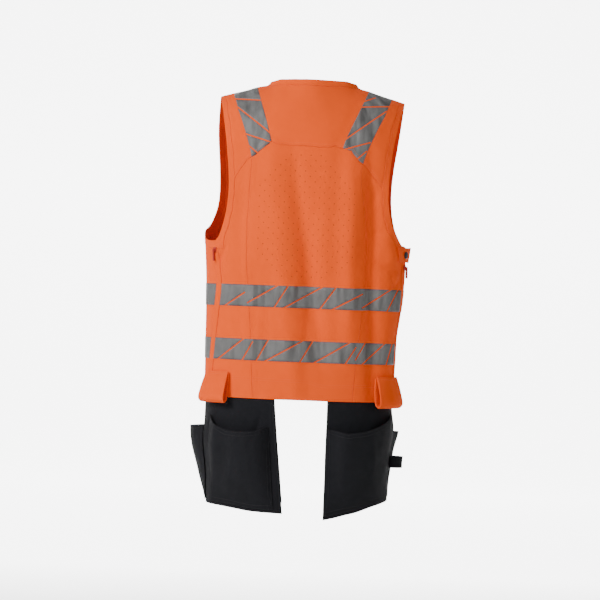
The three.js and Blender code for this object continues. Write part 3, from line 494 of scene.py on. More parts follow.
def subdivided(bm, levels):
    """The mesh of a bmesh, smoothly subdivided."""
    carrier = add_object("carrier", mesh_of("coarse", bm))
    rounder = carrier.modifiers.new("smooth", "SUBSURF")
    rounder.levels = rounder.render_levels = levels
    graph = bpy.context.evaluated_depsgraph_get()
    fine = bpy.data.meshes.new_from_object(carrier.evaluated_get(graph), depsgraph=graph)
    bpy.data.meshes.remove(carrier.data)
    return fine


def node_copy(name):
    """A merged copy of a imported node's mesh."""
    bm = bmesh.new()
    bm.from_mesh(frame["nodes"][name].data)
    bmesh.ops.remove_doubles(bm, verts=bm.verts, dist=1e-6)
    return bm


# A face with a side shorter than this belongs to a solid's thin wall.
WALL = 2.6 * MM
# Above this height a face looks at the neck rather than at the waist.
SHOULDERS = -0.15


def faces_body(face):
    """Whether a face of a cloth solid is its inner one, which looks at the wearer's body."""
    if min(edge.calc_length() for edge in face.edges) < WALL:
        return False
    centre = face.calc_center_median()
    lower = 0.15 if centre.z > SHOULDERS else 0.0
    inside = Vector((centre.x * 0.4, 0.0, centre.z - lower)) - centre
    return face.normal.dot(inside.normalized()) > 0.25


def inner_sheet(name):
    """The inner face of a cloth solid, turned to look outwards."""
    bm = node_copy(name)
    bmesh.ops.delete(bm, geom=[f for f in bm.faces if not faces_body(f)], context="FACES")
    bmesh.ops.reverse_faces(bm, faces=bm.faces)
    return bm


# A face of the skin has its piece's number, and this many times its tape's number added.
TAPE_STEP = 32
WELD_GAP = 0.8 * MM
# A face this near to all of a tape's inner sheet lies under the tape.
UNDER_TAPE = 3.2 * MM


class Skin:
    """The vest's skin: one fine sheet under all cloth pieces, with each face's piece and tape."""

    def __init__(self):
        self.pieces = list(CLOTH_PIECES)
        coarse = self.weld_sheets()
        self.mark_tapes(coarse)
        bmesh.ops.join_triangles(
            coarse, faces=coarse.faces, angle_face_threshold=math.pi, angle_shape_threshold=math.pi,
            cmp_materials=True)
        self.mesh = subdivided(coarse, sizes().skin_levels)
        self.fold()
        fine = self.copy()
        self.tree = BVHTree.FromBMesh(fine)
        self.normals = [v.normal.copy() for v in fine.verts]
        self.seams = self.seam_points(fine)
        self.chains = self.seam_chains(fine)
        fine.free()

    def weld_sheets(self):
        """Joins the inner faces of all cloth solids into one sheet."""
        whole = bmesh.new()
        for number, name in enumerate(self.pieces):
            sheet = inner_sheet(name)
            for face in sheet.faces:
                face.material_index = number
            mesh = mesh_of("part", sheet)
            whole.from_mesh(mesh)
            bpy.data.meshes.remove(mesh)
        bmesh.ops.remove_doubles(whole, verts=whole.verts, dist=WELD_GAP)
        # The gap between the zip's top and the neckband's ends goes to the zip.
        rims = [e for e in whole.edges if e.is_boundary]
        for face in bmesh.ops.holes_fill(whole, edges=rims, sides=4)["faces"]:
            face.material_index = self.pieces.index("front_zip")
            loop = face.loops[0]
            if loop.link_loop_radial_next.vert is loop.vert:
                face.normal_flip()
        return whole

    def mark_tapes(self, coarse):
        """Adds the number of the tape that covers a face to the face's own number."""
        trees = []
        for name in TAPE_NODES:
            sheet = inner_sheet(name)
            trees.append(BVHTree.FromBMesh(sheet))
            sheet.free()
        for face in coarse.faces:
            corners = [v.co for v in face.verts] + [face.calc_center_median()]
            distances = [max(tree.find_nearest(place)[3] for place in corners) for tree in trees]
            nearest = min(distances)
            if nearest < UNDER_TAPE:
                face.material_index += TAPE_STEP * (distances.index(nearest) + 1)

    def fold(self):
        """Moves the skin in and out along the folds that wearing gives it."""
        bm = self.copy()
        bm.normal_update()
        moves = [v.normal * fold_push(v.co) + Vector((0, 0, collar_rise(v.co))) for v in bm.verts]
        for vert, move in zip(bm.verts, moves):
            vert.co += move
        bm.to_mesh(self.mesh)
        bm.free()

    def copy(self):
        """A bmesh of the skin."""
        bm = bmesh.new()
        bm.from_mesh(self.mesh)
        bm.verts.ensure_lookup_table()
        bm.normal_update()
        return bm

    def seam_points(self, bm):
        """A tree of points along all seams and edges of the skin."""
        points = []
        for edge in bm.edges:
            if len({f.material_index % TAPE_STEP for f in edge.link_faces}) != 1 or edge.is_boundary:
                a, b = (v.co for v in edge.verts)
                points += [a, a.lerp(b, 0.33), a.lerp(b, 0.67)]
        tree = KDTree(len(points))
        for index, point in enumerate(points):
            tree.insert(point, index)
        tree.balance()
        return tree

    def seam_chains(self, bm):
        """The seams between each two pieces, as runs of points with the direction into the first piece."""
        edges = {}
        for edge in bm.edges:
            codes = sorted({f.material_index % TAPE_STEP for f in edge.link_faces})
            if len(codes) == 2:
                edges.setdefault(tuple(codes), []).append(edge)
            elif edge.is_boundary:
                edges.setdefault((codes[0], -1), []).append(edge)
        chains = {}
        for (first, second), run in edges.items():
            for path in ordered_runs(run):
                rows = []
                for vert in path:
                    towards = Vector()
                    for face in vert.link_faces:
                        sign = 1 if face.material_index % TAPE_STEP == first else -1
                        towards += sign * (face.calc_center_median() - vert.co)
                    rows.append((vert.co.copy(), vert.normal.copy(), towards))
                names = (self.pieces[first], self.pieces[second] if second >= 0 else "edge")
                chains.setdefault(names, []).append(rows)
        return chains


def ordered_runs(edges):
    """Sorts loose edges into runs of vertices, one after another."""
    left = set(edges)
    ends = {}
    for edge in edges:
        for vert in edge.verts:
            ends.setdefault(vert, []).append(edge)
    starts = [v for v, linked in ends.items() if len(linked) != 2]
    runs = []
    for start in starts + list(ends):
        for edge in ends[start]:
            if edge not in left:
                continue
            path = [start]
            here = edge
            while here is not None:
                left.discard(here)
                vert = here.other_vert(path[-1])
                path.append(vert)
                onward = [e for e in ends[vert] if e in left]
                here = onward[0] if len(ends[vert]) == 2 and onward else None
            runs.append(path)
    return runs


# Folds: middle x at the top and at the bottom, top and bottom z, width and depth, all in millimetres.
# They lie on the back; a depth above nought stands out.
BACK_FOLDS = (
    (90, 0, -110, -740, 25, 7.0),
    (44, -46, -110, -630, 19, -8.5),
    (-82, -92, -110, -600, 18, 8.0),
    (-121, -146, -110, -720, 13, -10.5),
    (-172, -172, -200, -640, 14, 3.5),
    (136, 140, -200, -430, 16, -1.5),
    (60, 52, -420, -560, 9, -1.0),
    (88, 96, -410, -590, 8, 0.9),
    (-8, 0, -415, -590, 8, -0.9),
    (130, 138, -420, -600, 9, -0.9),
    (-150, -142, -420, -600, 12, -1.2),
)
# Dents: middle x and z, half width and half height, lean in degrees and depth.
BACK_DENTS = (
    (-168, -375, 30, 9, 18, -3.2),
    (-178, -352, 26, 8, -38, 2.4),
    (-190, -395, 14, 26, 0, -2.0),
    (-187, -406, 4, 11, 38, -2.8),
    (-176, -399, 4, 15, -23, -2.4),
    (-186, -391, 6, 11, 0, 2.6),
    (-150, -300, 40, 10, -35, -1.5),
    (-140, -215, 12, 40, 30, -1.6),
    (176, -364, 5, 20, 18, -3.4),
    (189, -366, 6, 22, 18, 2.4),
)


def dent_depth(x, z, dents):
    """How far a table's dents move a point at x and z, in millimetres."""
    push = 0.0
    for mid_x, mid_z, wide, high, lean, depth in dents:
        turn = math.radians(lean)
        dx, dz = x - mid_x, z - mid_z
        u = (dx * math.cos(turn) + dz * math.sin(turn)) / wide
        v = (dz * math.cos(turn) - dx * math.sin(turn)) / high
        if u * u + v * v < 9:
            push += depth * math.exp(-u * u - v * v)
    return push


def unevenness(x, y, z, wide, high, shift=0.0):
    """Soft noise from minus one to one, with swells of a width and a height in millimetres."""
    return noise.noise(Vector((x / wide + shift, y / wide, z / high)))


def fold_push(place):
    """How far a point of the skin moves along its normal, in metres."""
    x, y, z = (value / MM for value in place)
    push = 0.0
    if y > 0:
        for top_x, foot_x, top, foot, width, depth in BACK_FOLDS:
            if foot < z < top:
                share = (top - z) / (top - foot)
                off = (x - top_x - (foot_x - top_x) * share) / width
                if abs(off) < 3:
                    push += depth * math.exp(-off * off) * math.sin(math.pi * share) ** 0.7
        push = (push + dent_depth(x, z, BACK_DENTS)) * smooth_step(0, 35, y)
    # Soft unevenness all over, drawn out downwards and calmer at the hem.
    calm = smooth_step(-652, -560, z) if z < -560 else 1.0
    soft = 1.5 * unevenness(x, y, z, 55, 150) + 0.5 * unevenness(x, y, z, 21, 60, 9)
    return (push + soft * (0.35 + 0.65 * calm)) * MM


COLLAR_RISE = 4.5 * MM


def collar_rise(place):
    """How far the collar stands up at the back of the neck, in metres."""
    x, y, z = (value / MM for value in place)
    return COLLAR_RISE * smooth_step(-45, 5, z) * smooth_step(5, 45, y) * smooth_step(88, 66, abs(x))


skin_made = []


def skin():
    """The vest's skin, made once."""
    if not skin_made:
        skin_made.append(Skin())
    return skin_made[0]


# Cloth rolls down over this width beside a seam, by these depths for the cloth and for the tape on it.
ROLL_WIDTH = 4.0 * MM
CLOTH_ROLL = 0.25 * MM
TAPE_ROLL = 0.20 * MM
TAPE_HEIGHT = 2.55 * MM
LINING_HEIGHT = 0.1 * MM
# Beyond this distance in millimetres a seam no longer counts.
SEAM_REACH = 30.0


def lift(vert, seam_mm, height, roll):
    """Lifts a point off the skin, a little less beside a seam, and notes how far away the seam is."""
    base = skin()
    distance = base.seams.find(vert.co)[2]
    vert[seam_mm] = min(SEAM_REACH, distance / MM)
    near = 1 - smooth_step(0.0, ROLL_WIDTH, distance)
    vert.co += base.normals[vert.index] * (height - roll * near)


def cloth_from_skin(name):
    """Cuts one cloth piece from the skin, lifts it off the body, lowers it along its seams and lines it."""
    base = skin()
    number = base.pieces.index(name)
    bm = base.copy()
    seam_mm = bm.verts.layers.float.new("seam_mm")
    rounding = bm.edges.layers.float.new("bevel_weight_edge")
    inner_places = {}
    for vert in {v for f in bm.faces if f.material_index % TAPE_STEP == number for v in f.verts}:
        inner_places[vert] = vert.co + base.normals[vert.index] * LINING_HEIGHT
        lift(vert, seam_mm, CLOTH_PIECES[name][0] * MM, CLOTH_ROLL)
    others = [f for f in bm.faces if f.material_index % TAPE_STEP != number]
    bmesh.ops.delete(bm, geom=others, context="FACES")
    rims = [e for e in bm.edges if e.is_boundary]
    moves = {}
    for vert in {v for e in rims for v in e.verts}:
        middle = sum((f.calc_center_median() for f in vert.link_faces), Vector()) / len(vert.link_faces)
        inwards = middle - vert.co
        inwards -= vert.normal * inwards.dot(vert.normal)
        moves[vert] = inwards.normalized() * sizes().seam_gap
    for vert, move in moves.items():
        vert.co += move
    outer_faces = list(bm.faces)
    inner = {vert: bm.verts.new(place) for vert, place in inner_places.items()}
    for vert in inner.values():
        vert[seam_mm] = SEAM_REACH
    walls = []
    for edge in rims:
        edge[rounding] = 1.0
        loop = edge.link_loops[0]
        first, second = loop.vert, loop.link_loop_next.vert
        walls.append((second, first, inner[first], inner[second]))
    for face in outer_faces:
        face.material_index = 0
        lining = bm.faces.new([inner[v] for v in reversed(face.verts)])
        lining.material_index = 1
    for corners in walls:
        bm.faces.new(corners).material_index = 0
    return bm


def make_cloth_piece(name):
    """One cloth piece of the vest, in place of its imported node."""
    outer = {"back_panel": "perforated", "front_zip": "zip"}.get(name, "shell")
    piece = add_piece(f"{name}_cloth", cloth_from_skin(name), (outer, "lining"), name)
    round_edges(piece, CLOTH_ROUNDING, 2, "WEIGHT")
    return piece


# Faces this near a slit are cut along its sides.
SLIT_MARGIN = 9 * MM


def cut_slit(bm, first, last, outwards):
    """Cuts one slit between two points out of a thin sheet."""
    along = last - first
    length = along.length
    along.normalize()
    across = along.cross(outwards).normalized()
    half = sizes().slit_width / 2
    middle = (first + last) / 2

    def within(face, margin_across, margin_along):
        """Whether a face that looks outwards lies within the slit and its margins."""
        away = face.calc_center_median() - middle
        return abs(away.dot(across)) < margin_across and abs(away.dot(along)) < length / 2 + margin_along \
            and face.normal.dot(outwards) > 0.1

    for place, direction in (
        (middle + across * half, across), (middle - across * half, across), (first, along), (last, along),
    ):
        faces = [f for f in bm.faces if within(f, SLIT_MARGIN, SLIT_MARGIN)]
        geometry = faces + list({e for f in faces for e in f.edges})
        geometry += list({v for f in faces for v in f.verts})
        bmesh.ops.bisect_plane(bm, geom=geometry, dist=1e-6, plane_co=place, plane_no=direction)
    bmesh.ops.delete(bm, geom=[f for f in bm.faces if within(f, half, 0)], context="FACES")


# The body's depth as a share of its width.
BODY_DEPTH = 0.62


def turned(degrees, side=1):
    """The direction out of the body at a turn from its side towards the back."""
    angle = math.radians(degrees)
    return Vector((side * math.cos(angle), BODY_DEPTH * math.sin(angle), 0)).normalized()


def shoulder_ends(places, low, high):
    """The ends of a slit on the front of a shoulder tape: low on its inner edge, high on its outer one."""
    ends = []
    for z, pick, stretch in ((low, min, 0.97), (high, max, 1.02)):
        row = [p.x for p in places if abs(p.z / MM - z) < 9]
        if row:
            ends.append(Vector((pick(row, key=abs) * stretch, 0, z * MM)))
    return ends


def make_tape(name):
    """A reflective tape on the cloth, cut through by its slits."""
    code = TAPE_NODES.index(name) + 1
    bm = skin().copy()
    seam_mm = bm.verts.layers.float.new("seam_mm")
    faces = [f for f in bm.faces if f.material_index // TAPE_STEP == code]
    for vert in {v for f in faces for v in f.verts}:
        lift(vert, seam_mm, TAPE_HEIGHT, TAPE_ROLL)
    others = [f for f in bm.faces if f.material_index // TAPE_STEP != code]
    bmesh.ops.delete(bm, geom=others, context="FACES")
    for face in bm.faces:
        face.material_index = 0
    for low_x, low_z, high_x, high_z in SLITS.get(name, ()):
        cut_slit(bm, milli(low_x, 0, low_z), milli(high_x, 0, high_z), Vector((0, 1, 0)))
    if name.startswith("shoulder"):
        places = [v.co for v in bm.verts if v.co.y < 0]
        for low, high in SHOULDER_SLITS:
            ends = shoulder_ends(places, low, high)
            if len(ends) == 2:
                cut_slit(bm, *ends, Vector((0, -1, 0)))
    elif not name.endswith("back"):
        side = 1 if name.endswith("left") else -1
        heights = [v.co.z for v in bm.verts]
        low, high = Vector((0, 0, min(heights) - 1 * MM)), Vector((0, 0, max(heights) + 1 * MM))
        for foot_turn, top_turn in TURNED_SLITS:
            first, first_up = skin().tree.ray_cast(low, turned(foot_turn, side))[:2]
            last, last_up = skin().tree.ray_cast(high, turned(top_turn, side))[:2]
            cut_slit(bm, first, last, (first_up + last_up).normalized())
    piece = add_piece(f"{name}_film", bm, ("film",), name)
    wall = piece.modifiers.new("thickness", "SOLIDIFY")
    wall.thickness = sizes().tape_thickness
    wall.offset = -1.0


# Holsters, loops, tab and zip parts

# Dents and ridges of the holsters: middle x and z, half width and half height, lean in degrees, depth.
HOLSTER_DENTS = (
    (176, -765, 9, 70, 2, 3.4),
    (156, -760, 9, 66, 4, -2.2),
    (92, -712, 7, 24, 16, -3.2),
    (104, -790, 22, 60, 0, 1.2),
    (-84, -800, 14, 60, -6, 1.6),
    (-118, -845, 40, 9, 8, -1.6),
    (-150, -770, 9, 60, -4, 2.4),
    (-100, -740, 30, 14, 10, -1.4),
)


# Swells of the loaded bags at the hips: side, middle z, half height and depth.
HOLSTER_SWELLS = ((1, -748, 42, 6.5), (-1, -712, 34, 8.0))


def hang_push(place):
    """How far a point of a hanging holster moves away from the wearer, in metres."""
    x, y, z = (value / MM for value in place)
    push = 1.6 * unevenness(x, y, z, 48, 90) + 0.5 * unevenness(x, y, z, 16, 30)
    if y > 20:
        push += dent_depth(x, z, HOLSTER_DENTS)
    for side, mid_z, high, depth in HOLSTER_SWELLS:
        share = (z - mid_z) / high
        push += depth * math.exp(-share * share) * smooth_step(150, 205, side * x)
    # Inside the hem it keeps clear of the folds.
    clear = min(0.0, fold_push(place)) * smooth_step(-700, -660, z)
    return push * smooth_step(-640, -690, z) * MM + clear


# Edges of a thin solid sharper than this are its rims.
RIM_ANGLE = math.radians(58)
JOIN_ANGLE = math.radians(50)
SOFT_LEVELS = 3


def joined_copy(node):
    """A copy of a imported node's mesh, with its triangles joined."""
    bm = node_copy(node)
    bmesh.ops.join_triangles(
        bm, faces=bm.faces, angle_face_threshold=JOIN_ANGLE, angle_shape_threshold=math.pi)
    return bm


def rim_runs(node):
    """The outer rim of a thin cloth solid, as runs of points with the direction into the cloth."""
    bm = joined_copy(node)
    bm.normal_update()
    wide = {}
    for edge in bm.edges:
        if edge.calc_face_angle(0) <= RIM_ANGLE:
            continue
        face = max(edge.link_faces, key=lambda f: min(e.calc_length() for e in f.edges))
        centre = face.calc_center_median()
        if face.normal.dot(Vector((centre.x, centre.y, 0)).normalized()) > 0.25:
            wide[edge] = face
    runs = []
    for path in ordered_runs(list(wide)):
        rows = []
        for vert in path:
            near = [wide[e] for e in vert.link_edges if e in wide]
            normal = sum((f.normal for f in near), Vector())
            towards = sum((f.calc_center_median() - vert.co for f in near), Vector())
            rows.append((vert.co.copy(), normal.normalized(), towards))
        runs.append(rows)
    bm.free()
    return runs


def make_soft_part(node, key, push=hang_push):
    """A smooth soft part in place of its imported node: rounded along its length, with its rims kept."""
    bm = joined_copy(node)
    crease = bm.edges.layers.float.new("crease_edge")
    for edge in bm.edges:
        if edge.calc_face_angle(0) > RIM_ANGLE:
            edge[crease] = 1.0
    mesh = subdivided(bm, SOFT_LEVELS)
    fine = bmesh.new()
    fine.from_mesh(mesh)
    bpy.data.meshes.remove(mesh)
    for vert in fine.verts:
        away = Vector((vert.co.x, vert.co.y, 0)).normalized()
        vert.co += away * push(vert.co)
    piece = add_piece(f"{node}_cloth", fine, (key,), node)
    round_edges(piece, SOFT_ROUNDING, 2, "ANGLE", 55)
    return piece


def make_hard_part(node, body):
    """A moulded part with its edges rounded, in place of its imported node."""
    bm = node_copy(node)
    bmesh.ops.dissolve_limit(bm, angle_limit=math.radians(2), verts=bm.verts, edges=bm.edges)
    piece = add_piece(f"{node}_moulded", bm, ("zip",), node, body)
    round_edges(piece, MOULDED_ROUNDING, 3, "ANGLE", 40)


# The snap cap's outline in millimetres: radius and height from its top to its foot.
SNAP_PROFILE = (
    (0.0, 1.1), (2.2, 1.05), (3.6, 0.85), (4.2, 0.45), (4.7, 0.5), (5.6, 0.95), (6.5, 0.9),
    (7.2, 0.5), (7.45, -0.2), (7.3, -1.0), (6.6, -1.45), (0.0, -1.45),
)


def make_snap():
    """A domed snap cap with a rolled rim and a ring round its middle."""
    node = "side_snap_right"
    bm = node_copy(node)
    weights = {}
    for face in bm.faces:
        key = tuple(round(c, 2) for c in face.normal)
        weights[key] = weights.get(key, 0.0) + face.calc_area()
    axis = Vector(max(weights, key=weights.get)).normalized()
    centre = sum((v.co for v in bm.verts), Vector()) / len(bm.verts)
    bm.free()
    if axis.dot(Vector((centre.x, centre.y, 0))) < 0:
        axis = -axis
    bm = bmesh.new()
    verts = [bm.verts.new((radius * MM, 0, height * MM)) for radius, height in SNAP_PROFILE]
    edges = [bm.edges.new(pair) for pair in zip(verts, verts[1:])]
    bmesh.ops.spin(
        bm, geom=verts + edges, cent=(0, 0, 0), axis=(0, 0, 1), angle=2 * math.pi, steps=40, use_merge=True)
    bmesh.ops.remove_doubles(bm, verts=bm.verts, dist=1e-5)
    bmesh.ops.recalc_face_normals(bm, faces=bm.faces)
    turn = axis.to_track_quat("Z", "Y").to_matrix().to_4x4()
    bmesh.ops.transform(bm, matrix=Matrix.Translation(centre) @ turn, verts=bm.verts)
    add_piece("side_snap_cap", bm, ("metal",), node)


# Stitches


def surface_tree(pieces):
    """A tree of the finished surfaces of some pieces."""
    bm = bmesh.new()
    graph = bpy.context.evaluated_depsgraph_get()
    for piece in pieces:
        shown = piece.evaluated_get(graph)
        mesh = shown.to_mesh()
        bm.from_mesh(mesh)
        shown.to_mesh_clear()
    tree = BVHTree.FromBMesh(bm)
    bm.free()
    return tree


# A ray down to the cloth starts this high above it and reaches this far.
RAY_START = 6 * MM
RAY_LENGTH = 14 * MM


def stitch_row(rows, inset, tree):
    """Points on the cloth beside a seam, a given way in from it."""
    line = []
    for place, normal, towards in rows:
        flat = towards - normal * towards.dot(normal)
        if flat.length < 1e-7:
            continue
        start = place + flat.normalized() * inset + normal * RAY_START
        hit, up = tree.ray_cast(start, -normal, RAY_LENGTH)[:2]
        if hit is not None and up.dot(normal) > 0.3:
            line.append((hit, up))
    return line


RIM_STEP = 4 * MM


def fine_rows(rows):
    """Puts points between those of a coarse rim, so that its rows follow a curved surface."""
    fine = []
    for (a, up_a, in_a), (b, up_b, in_b) in zip(rows, rows[1:]):
        steps = max(1, round((b - a).length / RIM_STEP))
        for step in range(steps):
            share = step / steps
            fine.append((a.lerp(b, share), up_a.lerp(up_b, share).normalized(), in_a.lerp(in_b, share)))
    return fine + rows[-1:]


# Points further apart than this belong to different rows.
LONGEST_STEP = 0.06
# How far a stitch's middle stands off the cloth, as a share of the thread's thickness.
STITCH_LIFT = 0.18


def add_stitches(name, lines, key, node):
    """Rows of small beads of thread along lines on the cloth."""
    bead = bmesh.new()
    bmesh.ops.create_uvsphere(bead, u_segments=6, v_segments=4, radius=1.0)
    thick = sizes().thread_thickness
    scale = Matrix.Diagonal((thick * 0.5, thick * 0.5, sizes().stitch_length * 0.5, 1))
    bmesh.ops.transform(bead, matrix=scale, verts=bead.verts)
    template = mesh_of("bead", bead)
    bm = bmesh.new()
    pitch = sizes().stitch_pitch
    for line in lines:
        travelled = pitch / 2
        for (start, first_up), (end, last_up) in zip(line, line[1:]):
            run = end - start
            length = run.length
            if length < 1e-6 or length > LONGEST_STEP:
                continue
            while travelled < length:
                share = travelled / length
                up = first_up.lerp(last_up, share).normalized()
                along = run.normalized()
                side = up.cross(along).normalized()
                up = along.cross(side)
                place = start + run * share + up * thick * STITCH_LIFT
                matrix = Matrix((*zip(side, up, along, place), (0, 0, 0, 1)))
                template.transform(matrix)
                bm.from_mesh(template)
                template.transform(matrix.inverted())
                travelled += pitch
            travelled -= length
    bpy.data.meshes.remove(template)
    add_piece(name, bm, (key,), node, replaces=False)


# Ways in from the seam, in millimetres.
SINGLE, DOUBLE, EDGING = (1.6,), (1.6, 6.4), (1.6, 9.0)
# Rows of stitches beside the seams: the cloth that they lie on, the other side and the ways in.
# A star stands for left and then for right.
SEAM_ROWS = (
    ("back_yoke", "back_panel", DOUBLE),
    ("back_yoke", "back_side_*", DOUBLE),
    ("back_panel", "back_side_*", SINGLE),
    ("armhole_band_*", "back_yoke", EDGING),
    ("armhole_band_*", "back_side_*", EDGING),
    ("armhole_band_*", "front_*", EDGING),
    ("armhole_band_*", "side_panel_*", EDGING),
    ("side_panel_*", "front_*", SINGLE),
    ("side_placket_*", "side_panel_*", SINGLE),
    ("back_side_*", "side_placket_*", SINGLE),
    ("back_yoke", "neckband", SINGLE),
    ("front_*", "neckband", SINGLE),
    ("front_*", "front_zip", DOUBLE),
    ("back_yoke", "front_*", SINGLE),
)


def seam_rows(tree):
    """All rows of stitches beside the vest's seams."""
    lines = []
    for first, second, insets in SEAM_ROWS:
        for side in SIDES if "*" in first + second else SIDES[:1]:
            name, other = first.replace("*", side), second.replace("*", side)
            for names, runs in skin().chains.items():
                if set(names) != {name, other}:
                    continue
                for rows in runs:
                    inwards = rows if names[0] == name else [(p, n, -t) for p, n, t in rows]
                    lines += [stitch_row(inwards, inset * MM, tree) for inset in insets]
    return lines


# The hem facing's stitch line: height over turns round the vest from its left side, in degrees.
HEM_LINE = ((-180, -612), (0, -606), (40, -608), (90, -610), (104, -619), (140, -616), (180, -612))


def hem_rows(tree):
    """Two rows of stitches right round the vest that hold the hem facing."""
    lines = []
    for drop in (0, 5):
        line = []
        for step in range(361):
            turn = -180 + step
            for (low, low_z), (high, high_z) in zip(HEM_LINE, HEM_LINE[1:]):
                if low <= turn <= high:
                    z = low_z + (high_z - low_z) * smooth_step(low, high, turn) - drop
            away = turned(turn)
            hit, up = tree.ray_cast(Vector((0, 0, z * MM)) + away * 0.5, -away, 0.5)[:2]
            if hit is not None:
                line.append((hit, up))
        lines.append(line)
    return lines


# Stage and camera


CAMERA_PLACE = (0.0116, 4.110, -0.4469)
CAMERA_ROLL = 0.038


def make_camera():
    """A long lens 4 m behind the vest, level with its middle, rolled as the picture is."""
    data = bpy.data.cameras.new("camera")
    data.lens = 117.6
    data.sensor_width = 36
    data.clip_end = 40
    camera = add_object("camera", data)
    cosine, sine = math.cos(CAMERA_ROLL), math.sin(CAMERA_ROLL)
    right, up, back = (-cosine, 0, sine), (sine, 0, cosine), (0, 1, 0)
    camera.matrix_world = Matrix((*zip(right, up, back, CAMERA_PLACE), (0, 0, 0, 1)))
    bpy.context.scene.camera = camera


FLOOR_HEIGHT = -1.35


def make_floor():
    """A pale seamless floor that rises behind the vest into a backdrop lit from behind."""
    bm = bmesh.new()
    ends = [bm.verts.new((x, 6.0, FLOOR_HEIGHT)) for x in (-9.0, 9.0)]
    run = [bm.edges.new(ends)]

    def draw_out(run, vec):
        """Extrudes a run of edges and returns the new one."""
        made = bmesh.ops.extrude_edge_only(bm, edges=run)
        verts = [g for g in made["geom"] if isinstance(g, bmesh.types.BMVert)]
        bmesh.ops.translate(bm, verts=verts, vec=vec)
        edges = [g for g in made["geom"] if isinstance(g, bmesh.types.BMEdge)]
        return [e for e in edges if all(v in verts for v in e.verts)]

    run = draw_out(run, (0, -11.2, 0))
    made = bmesh.ops.spin(
        bm, geom=run, cent=(0, -5.2, FLOOR_HEIGHT + 1.5), axis=(1, 0, 0), angle=-math.pi / 2, steps=16)
    run = [g for g in made["geom_last"] if isinstance(g, bmesh.types.BMEdge)]
    draw_out(run, (0, 0, 5.0))
    bmesh.ops.recalc_face_normals(bm, faces=bm.faces)
    floor = add_object("floor", mesh_of("floor", bm))
    floor.data.shade_smooth()
    material, tree, shader = new_material("painted_studio_floor", 0.9)
    shader.inputs["Base Color"].default_value = linear(colours().floor)
    shader.inputs["Emission Color"].default_value = (1, 1, 1, 1)
    split = add_node(tree, "ShaderNodeSeparateXYZ", {}, {"Vector": object_place(tree)})
    # Lit from behind only where it stands behind the vest, so that it doesn't flood the vest's front.
    glow = add_node(tree, "ShaderNodeMapRange",
                    {"From Min": -0.6, "From Max": -2.4, "To Min": 0.0, "To Max": 5.5},
                    {"Value": split.outputs["Y"]})
    aside = add_node(tree, "ShaderNodeMath", {"operation": "ABSOLUTE"}, {0: split.outputs["X"]})
    strength = glow.outputs["Result"]
    for near, far, source in ((1.8, 2.6, aside.outputs[0]), (1.4, 2.2, split.outputs["Z"])):
        patch = add_node(tree, "ShaderNodeMapRange",
                         {"From Min": near, "From Max": far, "To Min": 1.0, "To Max": 0.0},
                         {"Value": source})
        both = add_node(tree, "ShaderNodeMath", {"operation": "MULTIPLY"},
                        {0: strength, 1: patch.outputs["Result"]})
        strength = both.outputs[0]
    tree.links.new(strength, shader.inputs["Emission Strength"])
    floor.data.materials.append(material)


def add_light(name, place, aim, size, power):
    """A round soft light that shines on the aim."""
    data = bpy.data.lights.new(name, "AREA")
    data.shape = "DISK"
    data.size = size
    data.energy = power
    data.color = colours().light
    light = add_object(name, data)
    light.location = place
    light.rotation_mode = "QUATERNION"
    light.rotation_quaternion = (Vector(aim) - Vector(place)).to_track_quat("-Z", "Y")


def make_lights():
    """Soft studio light: a large one high on the left of the picture, weaker ones round about."""
    aim = (0, 0, -0.45)
    add_light("key_light", (3.1, 2.6, 1.5), aim, 1.1, 185)
    add_light("fill_light", (-2.8, 3.4, 0.3), aim, 2.6, 14)
    add_light("front_light", (1.6, -3.6, 1.6), aim, 2.4, 40)
    world = bpy.data.worlds.new("studio")
    bpy.context.scene.world = world
    world.use_nodes = True
    background = world.node_tree.nodes["Background"]
    background.inputs["Color"].default_value = (1, 1, 1, 1)
    # Pale near the horizon, as a studio's walls are, and dimmer overhead.
    tree = world.node_tree
    place = add_node(tree, "ShaderNodeTexCoord")
    split = add_node(tree, "ShaderNodeSeparateXYZ", {}, {"Vector": place.outputs["Generated"]})
    height = add_node(tree, "ShaderNodeMath", {"operation": "ABSOLUTE"}, {0: split.outputs["Z"]})
    wall = add_node(tree, "ShaderNodeMapRange",
                    {"From Min": 0.12, "From Max": 0.45, "To Min": 0.9, "To Max": 0.30},
                    {"Value": height.outputs[0]})
    tree.links.new(wall.outputs["Result"], background.inputs["Strength"])


# Operators


class VEST_OT_stage(bpy.types.Operator):
    """Adds the camera, the lights and the floor"""
    bl_idname = "vest.stage"
    bl_label = "Stage"

    def execute(self, context):
        make_camera()
        make_floor()
        make_lights()
        return {"FINISHED"}


class VEST_OT_cloth(bpy.types.Operator):
    """Makes the cloth pieces of the vest's body"""
    bl_idname = "vest.cloth"
    bl_label = "Cloth pieces"

    def execute(self, context):
        pieces = {name: make_cloth_piece(name) for name in CLOTH_PIECES}
        return {"FINISHED"}


class VEST_OT_tapes(bpy.types.Operator):
    """Makes the reflective tapes with their slits"""
    bl_idname = "vest.tapes"
    bl_label = "Reflective tapes"

    def execute(self, context):
        for name in TAPE_NODES:
            make_tape(name)
        return {"FINISHED"}


# Ways in from the rims for the holsters' and the trims' rows of stitches, in millimetres.
BAG_INSETS, PANEL_INSETS, TRIM_INSET = (2.0, 9.0), (3.0,), 2.0
# The holsters' flat cuts: width and length in metres, and area in square metres.
HOLSTER_CUTS = {
    "holster_panel_left": (0.43, 0.29, 0.114), "holster_panel_right": (0.40, 0.30, 0.103),
    "holster_back_bag_left": (0.17, 0.19, 0.026), "holster_back_bag_right": (0.19, 0.21, 0.030),
    "holster_side_bag_left": (0.28, 0.17, 0.040), "holster_side_bag_right": (0.19, 0.17, 0.0255),
}


